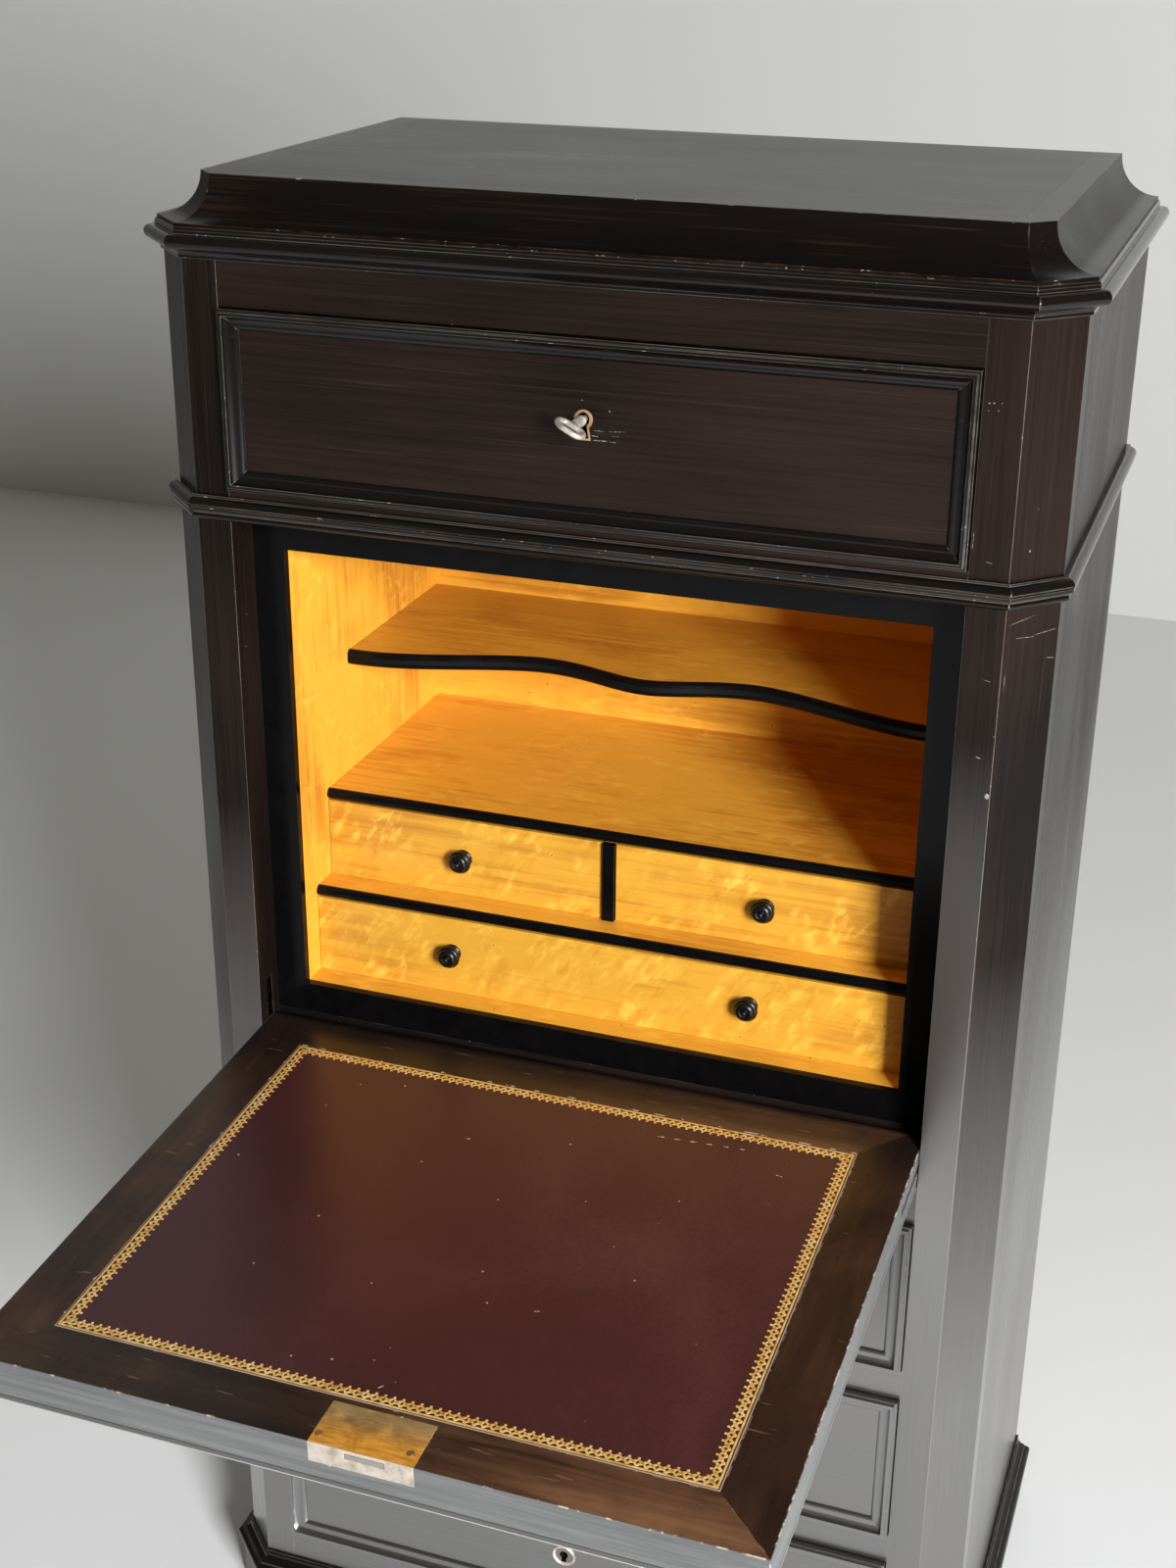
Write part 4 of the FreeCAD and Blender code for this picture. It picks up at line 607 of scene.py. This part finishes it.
def lock_brass(name, colours, sizes):
    """The lock plate: orange tarnish near the front, olive behind, grey metal on the turned-down front."""
    f = Finish(name)
    head, reach = f.along_fall(sizes), sizes.fall_reach
    stain = f.noise(f.place(location=(0.13, 0.02, 0.0)), 34.0, 5.0, 0.6, 0.8)
    fine = f.noise(f.place((60, 300, 300)), 1.0, 4.0, 0.6)
    front = f.span(f.math("ADD", head, f.times(stain, 0.03)), reach - 0.021, reach)
    olive = f.ramp(f.weigh(stain, 0.6, fine, 0.4), (0.36, (0.24, 0.15, 0.055)), (0.5, (0.36, 0.235, 0.09)),
                   (0.66, (0.5, 0.36, 0.16)))
    orange = f.ramp(f.weigh(stain, 0.5, fine, 0.5), (0.34, (0.5, 0.19, 0.02)), (0.5, colours.brass),
                    (0.68, (0.92, 0.55, 0.14)))
    colour = f.mix(front, olive, orange)
    grey = f.ramp(f.noise(f.place(location=(0.4, 0.0, 0.2)), 90.0, 4.0, 0.6), (0.34, (0.3, 0.25, 0.2)),
                  (0.52, (0.46, 0.4, 0.335)), (0.7, (0.55, 0.485, 0.41)))
    colour = f.mix(f.span(head, reach - 0.0008, reach - 0.0002), colour, grey)
    edge, rounded = f.edges(0.0006)
    colour = f.mix(f.times(edge, 0.7), colour, (0.86, 0.66, 0.36))
    f.surface(Base_Color=colour, Metallic=0.3, Roughness=f.span(stain, 0.3, 0.7, 0.3, 0.45),
              Normal=f.bump(fine, 0.08, 0.0003, rounded))
    return f


def worn_steel(name, tint):
    """Grey steel with light scratches."""
    f = Finish(name)
    scuff = f.noise(f.place((600, 60, 600)), 1.0, 4.0, 0.6)
    cloud = f.noise(f.place(), 120.0, 3.0)
    _edge, rounded = f.edges(0.0006)
    f.surface(Base_Color=f.mix(f.times(cloud, 0.5), tint, toned(tint, 0.6)), Metallic=1.0,
              Roughness=f.span(scuff, 0.3, 0.7, 0.2, 0.38), Normal=f.bump(scuff, 0.06, 0.0002, rounded))
    return f


def pale_mark(name, faint, strong):
    """A scuff or scratch that comes and goes along its length."""
    f = Finish(name)
    rub = f.noise(f.place(), 400.0, 3.0)
    f.surface(Base_Color=f.ramp(rub, (0.4, faint), (0.6, strong)), Roughness=0.6)
    return f


def studio_grey(name, colour):
    """Floor and backdrop: even pale paint with the faintest mottling."""
    f = Finish(name)
    mottle = f.noise(f.place(), 3.0, 3.0)
    f.surface(Base_Color=f.mix(f.times(mottle, 0.08), colour, toned(colour, 0.85)), Roughness=0.62,
              Specular_IOR_Level=0.2)
    return f


def wear_finish(nodes, finish):
    """Give CAD nodes a finish."""
    for name in nodes:
        slots = NODES[name].data.materials
        slots.clear()
        slots.append(finish.material)


def new_object(name, shape, finish):
    """Turn a bmesh into a finished object of the scene."""
    mesh = bpy.data.meshes.new(name)
    shape.to_mesh(mesh)
    shape.free()
    mesh.materials.append(finish.material)
    made = bpy.data.objects.new(name, mesh)
    bpy.context.scene.collection.objects.link(made)
    return made


def new_piece(name, shape, finish, body, stands_for=()):
    """Turn a bmesh into a finished piece that rides on a body."""
    piece = new_object(name, shape, finish)
    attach(piece, body)
    if stands_for:
        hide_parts(*stands_for)
    return piece


def turn_profile(shape, outline, centre, steps):
    """Spin an outline of (radius, distance out) about a line that runs out of the front."""
    made = [shape.verts.new(centre + Vector((radius, -out, 0))) for radius, out in outline]
    runs = [shape.edges.new(pair) for pair in zip(made, made[1:])]
    bmesh.ops.spin(shape, geom=made + runs, cent=centre, axis=(0, 1, 0), angle=math.tau, steps=steps,
                   use_merge=True)
    bmesh.ops.remove_doubles(shape, verts=shape.verts, dist=1e-6)
    bmesh.ops.recalc_face_normals(shape, faces=shape.faces)


def smooth_shaded(piece, angle):
    """Smooth a piece, but leave the edges sharp that turn by more than an angle."""
    for face in piece.data.polygons:
        face.use_smooth = True
    piece.data.set_sharp_from_angle(angle=angle)


def fall_place(sizes):
    """From the shut fall's own axes to where it lies let down."""
    return Matrix.Translation(sizes.fall_pivot) @ Matrix.Rotation(sizes.fall_angle, 4, "X")


def boss(shape, placing, x, z, turn, length, width, base, height, segments=8):
    """A thin oval boss on a face."""
    lie = Matrix.Translation((x, base + height / 2, z)) @ Matrix.Rotation(turn, 4, "Y")
    lie = lie @ Matrix.Rotation(math.radians(-90), 4, "X") @ Matrix.Diagonal((length, width, height, 1))
    bmesh.ops.create_cone(shape, cap_ends=True, cap_tris=False, segments=segments, radius1=0.5, radius2=0.4,
                          depth=1, matrix=placing @ lie)


def strew(shape, placing, marks, base, height):
    """A thin boss for each (x, z, turn, length, width)."""
    for mark in marks:
        boss(shape, placing, *mark, base, height)
    bmesh.ops.recalc_face_normals(shape, faces=shape.faces)


def flat_ring(shape, placing, half, foot, head, width, base, height):
    """A thin mitred line round a rectangle on the fall's inner face."""
    lie = Matrix.Translation((0, base, (foot + head) / 2)) @ Matrix.Rotation(math.radians(-90), 4, "X")
    lie = lie @ Matrix.Diagonal((half * 2, head - foot, 1, 1))
    made = bmesh.ops.create_grid(shape, x_segments=1, y_segments=1, size=0.5, matrix=placing @ lie)
    face = made["verts"][0].link_faces[0]
    rim = bmesh.ops.inset_individual(shape, faces=[face], thickness=width, use_even_offset=True)["faces"]
    bmesh.ops.delete(shape, geom=[face], context="FACES_ONLY")
    grown = bmesh.ops.extrude_face_region(shape, geom=rim)["geom"]
    lift = placing.to_3x3() @ Vector((0, height, 0))
    bmesh.ops.translate(shape, vec=lift, verts=[part for part in grown if isinstance(part, bmesh.types.BMVert)])


class ESCRITOIRE_OT_case(bpy.types.Operator):
    """Finish the ebonised case, its mouldings and its plain hidden boards."""

    bl_idname = "escritoire.case"
    bl_label = "Case finishes"

    def execute(self, context):
        colours = context.scene.escritoire_colours
        self.black_wood(colours)
        wear_finish(LINING_NODES, plain_lining("drawer_lining", DEEP, WIDE, colours))
        wear_finish(("back_panel",), plain_lining("back_lining", WIDE, TALL, colours))
        wear_finish(HINGE_NODES, worn_steel("hinge_steel", (0.06, 0.052, 0.046)))
        wear_finish(("top_drawer_lock",), dull_metal("thread_brass", (0.36, 0.235, 0.115), 0.4))
        wear_finish(RING_NODES, dull_metal("ring_brass", (0.6, 0.5, 0.41), 0.4))
        wear_finish(STEEL_NODES, worn_steel("lock_steel", (0.5, 0.47, 0.43)))
        self.scratches()
        self.post_marks(context.scene.escritoire_sizes)
        return {"FINISHED"}

    def black_wood(self, colours):
        """The black polish of the fronts, posts, sides, top and mouldings."""
        wear_finish(PANEL_NODES, ebonised("ebonised_panel", WIDE, colours, brown=0.8))
        wear_finish(LOW_PANEL_NODES, floor_gleam(ebonised(
            "ebonised_low_panel", WIDE, colours, brown=0.6, relief=0.05)))
        wear_finish(("corner_posts",), polished_upright(
            "ebonised_upright", colours, shine=0.2, drop=0.2, index=GLEAM_INDEX))
        wear_finish(("case_sides",), polished_upright(
            "ebonised_side", colours, shine=0.06, drop=0.1, index=SHELLAC_INDEX))
        wear_finish(("top_board",), ebonised(
            "ebonised_top", WIDE, colours, brown=0.3, roughness=(0.26, 0.34), wear=1.6, gloss=(1.5, 0.25),
            arris=0.0014))
        wear_finish(("cornice_cavetto",), hollow_cornice("ebonised_cavetto", colours))
        # The mouldings' pale arris lines are partly wear and partly painted highlight
        wear_finish(MOULDING_NODES, ebonised(
            "ebonised_moulding", WIDE, colours, brown=0.0, roughness=(0.09, 0.15), gloss=(1.4, 0.55), relief=0.0,
            wear_and_highlight_lines=0.36))
        # The low mouldings' pale arris lines are partly wear and partly painted highlight
        wear_finish(LOW_MOULDING_NODES, floor_gleam(ebonised(
            "ebonised_low_moulding", WIDE, colours, brown=0.1, roughness=(0.26, 0.38), wear=0.4, gloss=(1.5, 0.3),
            arris=0.0008, relief=0.05, wear_and_highlight_lines=0.3)))
        wear_finish(BLACK_NODES, black_gloss("black_edge", shine=0.12, roughness=0.21, arris=0.0009))

    def scratches(self):
        """Fine pale scratches where keys have slipped beside the top keyhole."""
        shape = bmesh.new()
        strew(shape, TO_FRONT, KEYHOLE_MARKS, -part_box("top_drawer_front")[0].y, SCRATCH_HEIGHT)
        new_piece("keyhole_scratches", shape, pale_mark("scratched_polish", (0.03, 0.026, 0.023), (0.24, 0.21, 0.19)),
                  "frieze_drawer")

    def post_marks(self, sizes):
        """Specks, fine scratches and a chip on the right post and its canted corner."""
        shape = bmesh.new()
        low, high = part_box("corner_posts")
        strew(shape, TO_FRONT, POST_MARKS, -low.y, SCRATCH_HEIGHT)
        to_cant = Matrix.Rotation(math.radians(45), 4, "Z") @ TO_FRONT
        strew(shape, to_cant, CANT_MARKS, (high.x - sizes.cant_leg - low.y) * math.sqrt(0.5), SCRATCH_HEIGHT)
        new_piece("post_scuffs", shape, pale_mark("scuffed_polish", (0.05, 0.044, 0.038), (0.3, 0.26, 0.22)),
                  "case")


class ESCRITOIRE_OT_interior(bpy.types.Operator):
    """Finish the maple interior."""

    bl_idname = "escritoire.interior"
    bl_label = "Maple interior"

    def execute(self, context):
        colours = context.scene.escritoire_colours
        # The tones differ by group partly as painted light and shade; the scooped shelf's low tone is painted shade
        wear_finish(MAPLE_SHELF_NODES, birds_eye_maple("maple_shelf", WIDE, colours, tone_and_painted_light=1.08, figure=0.5))
        wear_finish(("serpentine_shelf",), birds_eye_maple(
            "maple_scooped_shelf_painted_shade", WIDE, colours, tone_and_painted_light=0.76, figure=0.5))
        wear_finish(MAPLE_DRAWER_NODES, birds_eye_maple(
            "maple_drawer", WIDE, colours, tone_and_painted_light=0.88, figure=1.0, lean=math.radians(55)))
        wear_finish(MAPLE_UPRIGHT_NODES, birds_eye_maple("maple_upright", TALL, colours, tone_and_painted_light=1.22, figure=0.45))
        return {"FINISHED"}


class ESCRITOIRE_OT_fall(bpy.types.Operator):
    """Finish the fall's frame, lay the leather and press its gilt border."""

    bl_idname = "escritoire.fall"
    bl_label = "Fall and leather"

    def execute(self, context):
        colours = context.scene.escritoire_colours
        sizes = context.scene.escritoire_sizes
        wear_finish(("fall_frame",), fall_timber("fall_frame_polish", sizes, colours))
        wear_finish(("fall_lock",), lock_brass("lock_brass", colours, sizes))
        self.leather(sizes, colours)
        self.border(sizes, colours)
        self.screws(sizes)
        self.scuffs(sizes)
        return {"FINISHED"}

    def leather(self, sizes, colours):
        """The hide: one skin with a rounded edge."""
        shape = bmesh.new()
        placing = fall_place(sizes)
        middle = (sizes.leather_foot + sizes.leather_head) / 2
        deep = sizes.leather_head - sizes.leather_foot
        lie = Matrix.Translation((0, sizes.fall_face - sizes.leather_thickness / 2, middle))
        lie = lie @ Matrix.Diagonal((sizes.leather_half * 2, sizes.leather_thickness, deep, 1))
        bmesh.ops.create_cube(shape, size=1, matrix=placing @ lie)
        back = placing.inverted()
        rim = [edge for edge in shape.edges
               if all(abs((back @ vert.co).y - sizes.fall_face) < 1e-6 for vert in edge.verts)]
        bmesh.ops.bevel(shape, geom=rim, affect="EDGES", offset=sizes.leather_round, segments=3, profile=0.5,
                        material=-1)
        hide = tooled_leather("tooled_leather", colours, sizes)
        piece = new_piece("leather_skin", shape, hide, "fall", ("fall_leather",))

    def border(self, sizes, colours):
        """Gold tooling: crossed leaves between beads, with a plain line outside them."""
        shape = bmesh.new()
        placing = fall_place(sizes)
        base, height = sizes.fall_face, sizes.gilt_height
        inset, width = sizes.gilt_inset, sizes.gilt_width
        half = sizes.leather_half - inset
        foot, head = sizes.leather_foot + inset, sizes.leather_head - inset
        line, lane = 0.14 * width, 0.58 * width
        flat_ring(shape, placing, half, foot, head, line, base, height)
        middle = (foot + head) / 2
        sides = (
            (Vector((0, foot)), Vector((1, 0)), Vector((0, 1)), half - lane),
            (Vector((0, head)), Vector((1, 0)), Vector((0, -1)), half - lane),
            (Vector((-half, middle)), Vector((0, 1)), Vector((1, 0)), (head - foot) / 2 - lane),
            (Vector((half, middle)), Vector((0, 1)), Vector((-1, 0)), (head - foot) / 2 - lane),
        )
        for start, run, inward, reach in sides:
            count = round(2 * reach / sizes.gilt_pitch)
            step = 2 * reach / count
            slope = math.atan2(-run.y, run.x)
            for i in range(count + 1):
                here = start + run * (i * step - reach)
                for share, turn, length, thick in LEAVES:
                    spot = here + inward * (share * width)
                    if length < 1:
                        spot = spot + run * (step / 2)
                    boss(shape, placing, spot.x, spot.y, slope + turn, length * step, thick * width, base, height)
        bmesh.ops.recalc_face_normals(shape, faces=shape.faces)
        new_piece("gilt_border", shape, gold_leaf("gold_leaf", colours), "fall")

    def screws(self, sizes):
        """Two flat screw heads in the lock plate."""
        shape = bmesh.new()
        wide = 2 * sizes.screw_radius
        for x, z in SCREW_PLACES:
            boss(shape, fall_place(sizes), x, z, 0, wide, wide, sizes.fall_face, sizes.screw_height, SCREW_FACETS)
        bmesh.ops.recalc_face_normals(shape, faces=shape.faces)
        new_piece("lock_screws", shape, dull_metal("screw_brass", (0.3, 0.19, 0.08), 0.4), "fall")

    def scuffs(self, sizes):
        """Pale scuffs on the hide: a row of dashes and a few single marks."""
        shape = bmesh.new()
        strew(shape, fall_place(sizes), HIDE_MARKS, sizes.fall_face, SCUFF_HEIGHT)
        new_piece("leather_scuffs", shape, pale_mark("scuffed_hide", (0.2, 0.12, 0.1), (0.62, 0.5, 0.42)), "fall")


class ESCRITOIRE_OT_knobs(bpy.types.Operator):
    """Turn the ringed black knobs of the small drawers."""

    bl_idname = "escritoire.knobs"
    bl_label = "Turned knobs"

    def execute(self, context):
        sizes = context.scene.escritoire_sizes
        finish = black_gloss("knob_black", shine=0.4, roughness=0.31, arris=0.0002)
        radius = sizes.knob_radius
        outline = [(across * radius, out * sizes.knob_length) for across, out in KNOB_OUTLINE]
        for side in ("left", "right", "long"):
            node = f"{side}_small_drawer_knobs"
            low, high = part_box(node)
            middles = (low.x + radius, high.x - radius) if side == "long" else ((low.x + high.x) / 2,)
            shape = bmesh.new()
            for x in middles:
                single = bmesh.new()
                turn_profile(single, outline, Vector((x, high.y, (low.z + high.z) / 2)), sizes.turn_steps)
                spare = bpy.data.meshes.new("spare")
                single.to_mesh(spare)
                single.free()
                shape.from_mesh(spare)
                bpy.data.meshes.remove(spare)
            piece = new_piece(f"{side}_drawer_knobs", shape, finish, f"{side}_inner_drawer", (node,))
            smooth_shaded(piece, math.radians(50))
        return {"FINISHED"}


class ESCRITOIRE_OT_key(bpy.types.Operator):
    """Finish the drawer key."""

    bl_idname = "escritoire.key"
    bl_label = "Drawer key"

    def execute(self, context):
        wear_finish(("drawer_key",), dull_metal("key_nickel", (0.5, 0.45, 0.39), 0.55))
        return {"FINISHED"}


class ESCRITOIRE_OT_stage(bpy.types.Operator):
    """Floor, backdrop, soft light and the camera."""

    bl_idname = "escritoire.stage"
    bl_label = "Stage"

    def execute(self, context):
        scene = context.scene
        stage = scene.escritoire_stage
        upright = Matrix.Translation((0, stage.wall_y, 0)) @ Matrix.Rotation(math.radians(90), 4, "X")
        floor = self.board(stage, "stage_floor", Matrix(), studio_grey("floor_paint", stage.floor_colour))
        wall = self.board(stage, "stage_wall", upright, studio_grey("wall_paint", stage.wall_colour))
        self.lamp(scene, stage)
        world = bpy.data.worlds.new("studio")
        world.use_nodes = True
        sky = world.node_tree.nodes["Background"].inputs
        sky["Color"].default_value = paint(stage.sky_colour)
        sky["Strength"].default_value = stage.sky_strength
        scene.world = world
        self.camera(scene, stage)
        scene.view_settings.view_transform = "Standard"
        return {"FINISHED"}

    def board(self, stage, name, lie, finish):
        """One large flat board."""
        shape = bmesh.new()
        bmesh.ops.create_grid(shape, x_segments=1, y_segments=1, size=stage.board_half, matrix=lie)
        return new_object(name, shape, finish)

    def lamp(self, scene, stage):
        """A soft lamp turned to a point."""
        data = bpy.data.lights.new("key_lamp", "AREA")
        data.shape = "RECTANGLE"
        data.energy = stage.lamp_power
        data.size, data.size_y = stage.lamp_width, stage.lamp_height
        data.color = stage.lamp_colour
        made = bpy.data.objects.new("key_lamp", data)
        made.location = stage.lamp_place
        aim = Vector(stage.lamp_aim) - Vector(stage.lamp_place)
        made.rotation_euler = aim.to_track_quat("-Z", "Y").to_euler()
        scene.collection.objects.link(made)

    def camera(self, scene, stage):
        """The photograph's viewpoint, on a frame 1200 wide and 1600 high."""
        turn, tilt, roll = stage.azimuth, stage.elevation, stage.roll
        forward = Vector((-math.sin(turn) * math.cos(tilt), math.cos(turn) * math.cos(tilt), -math.sin(tilt)))
        right = Vector((math.cos(turn), math.sin(turn), 0))
        up = right.cross(forward)
        across = right * math.cos(roll) + up * math.sin(roll)
        above = up * math.cos(roll) - right * math.sin(roll)
        data = bpy.data.cameras.new("photo_camera")
        data.sensor_fit = "VERTICAL"
        data.sensor_height = 36
        data.sensor_width = 27
        data.lens = stage.focal_share * data.sensor_height
        eye = bpy.data.objects.new("photo_camera", data)
        eye.matrix_world = Matrix.Translation(stage.eye) @ Matrix((across, above, -forward)).transposed().to_4x4()
        scene.collection.objects.link(eye)
        scene.camera = eye


OPERATORS = (
    ESCRITOIRE_OT_case,
    ESCRITOIRE_OT_interior,
    ESCRITOIRE_OT_fall,
    ESCRITOIRE_OT_knobs,
    ESCRITOIRE_OT_key,
    ESCRITOIRE_OT_stage,
)


class ESCRITOIRE_PT_panel(bpy.types.Panel):
    """The steps that dress the desk."""

    bl_idname = "ESCRITOIRE_PT_panel"
    bl_label = "Escritoire"
    bl_space_type = "VIEW_3D"
    bl_region_type = "UI"
    bl_category = "Escritoire"

    def draw(self, context):
        for operator in OPERATORS:
            self.layout.operator(operator.bl_idname)


GROUPS = (EscritoireSizes, EscritoireColours, EscritoireStage)


def register():
    """Add the classes and their settings."""
    for made in GROUPS + OPERATORS + (ESCRITOIRE_PT_panel,):
        bpy.utils.register_class(made)
    bpy.types.Scene.escritoire_sizes = PointerProperty(type=EscritoireSizes)
    bpy.types.Scene.escritoire_colours = PointerProperty(type=EscritoireColours)
    bpy.types.Scene.escritoire_stage = PointerProperty(type=EscritoireStage)


def unregister():
    """Take the classes and their settings away."""
    for name in ("escritoire_sizes", "escritoire_colours", "escritoire_stage"):
        delattr(bpy.types.Scene, name)
    for made in reversed(GROUPS + OPERATORS + (ESCRITOIRE_PT_panel,)):
        bpy.utils.unregister_class(made)


def main():
    register()
    for operator in OPERATORS:
        group, name = operator.bl_idname.split(".")
        getattr(getattr(bpy.ops, group), name)()


if __name__ == "__main__":
    main()
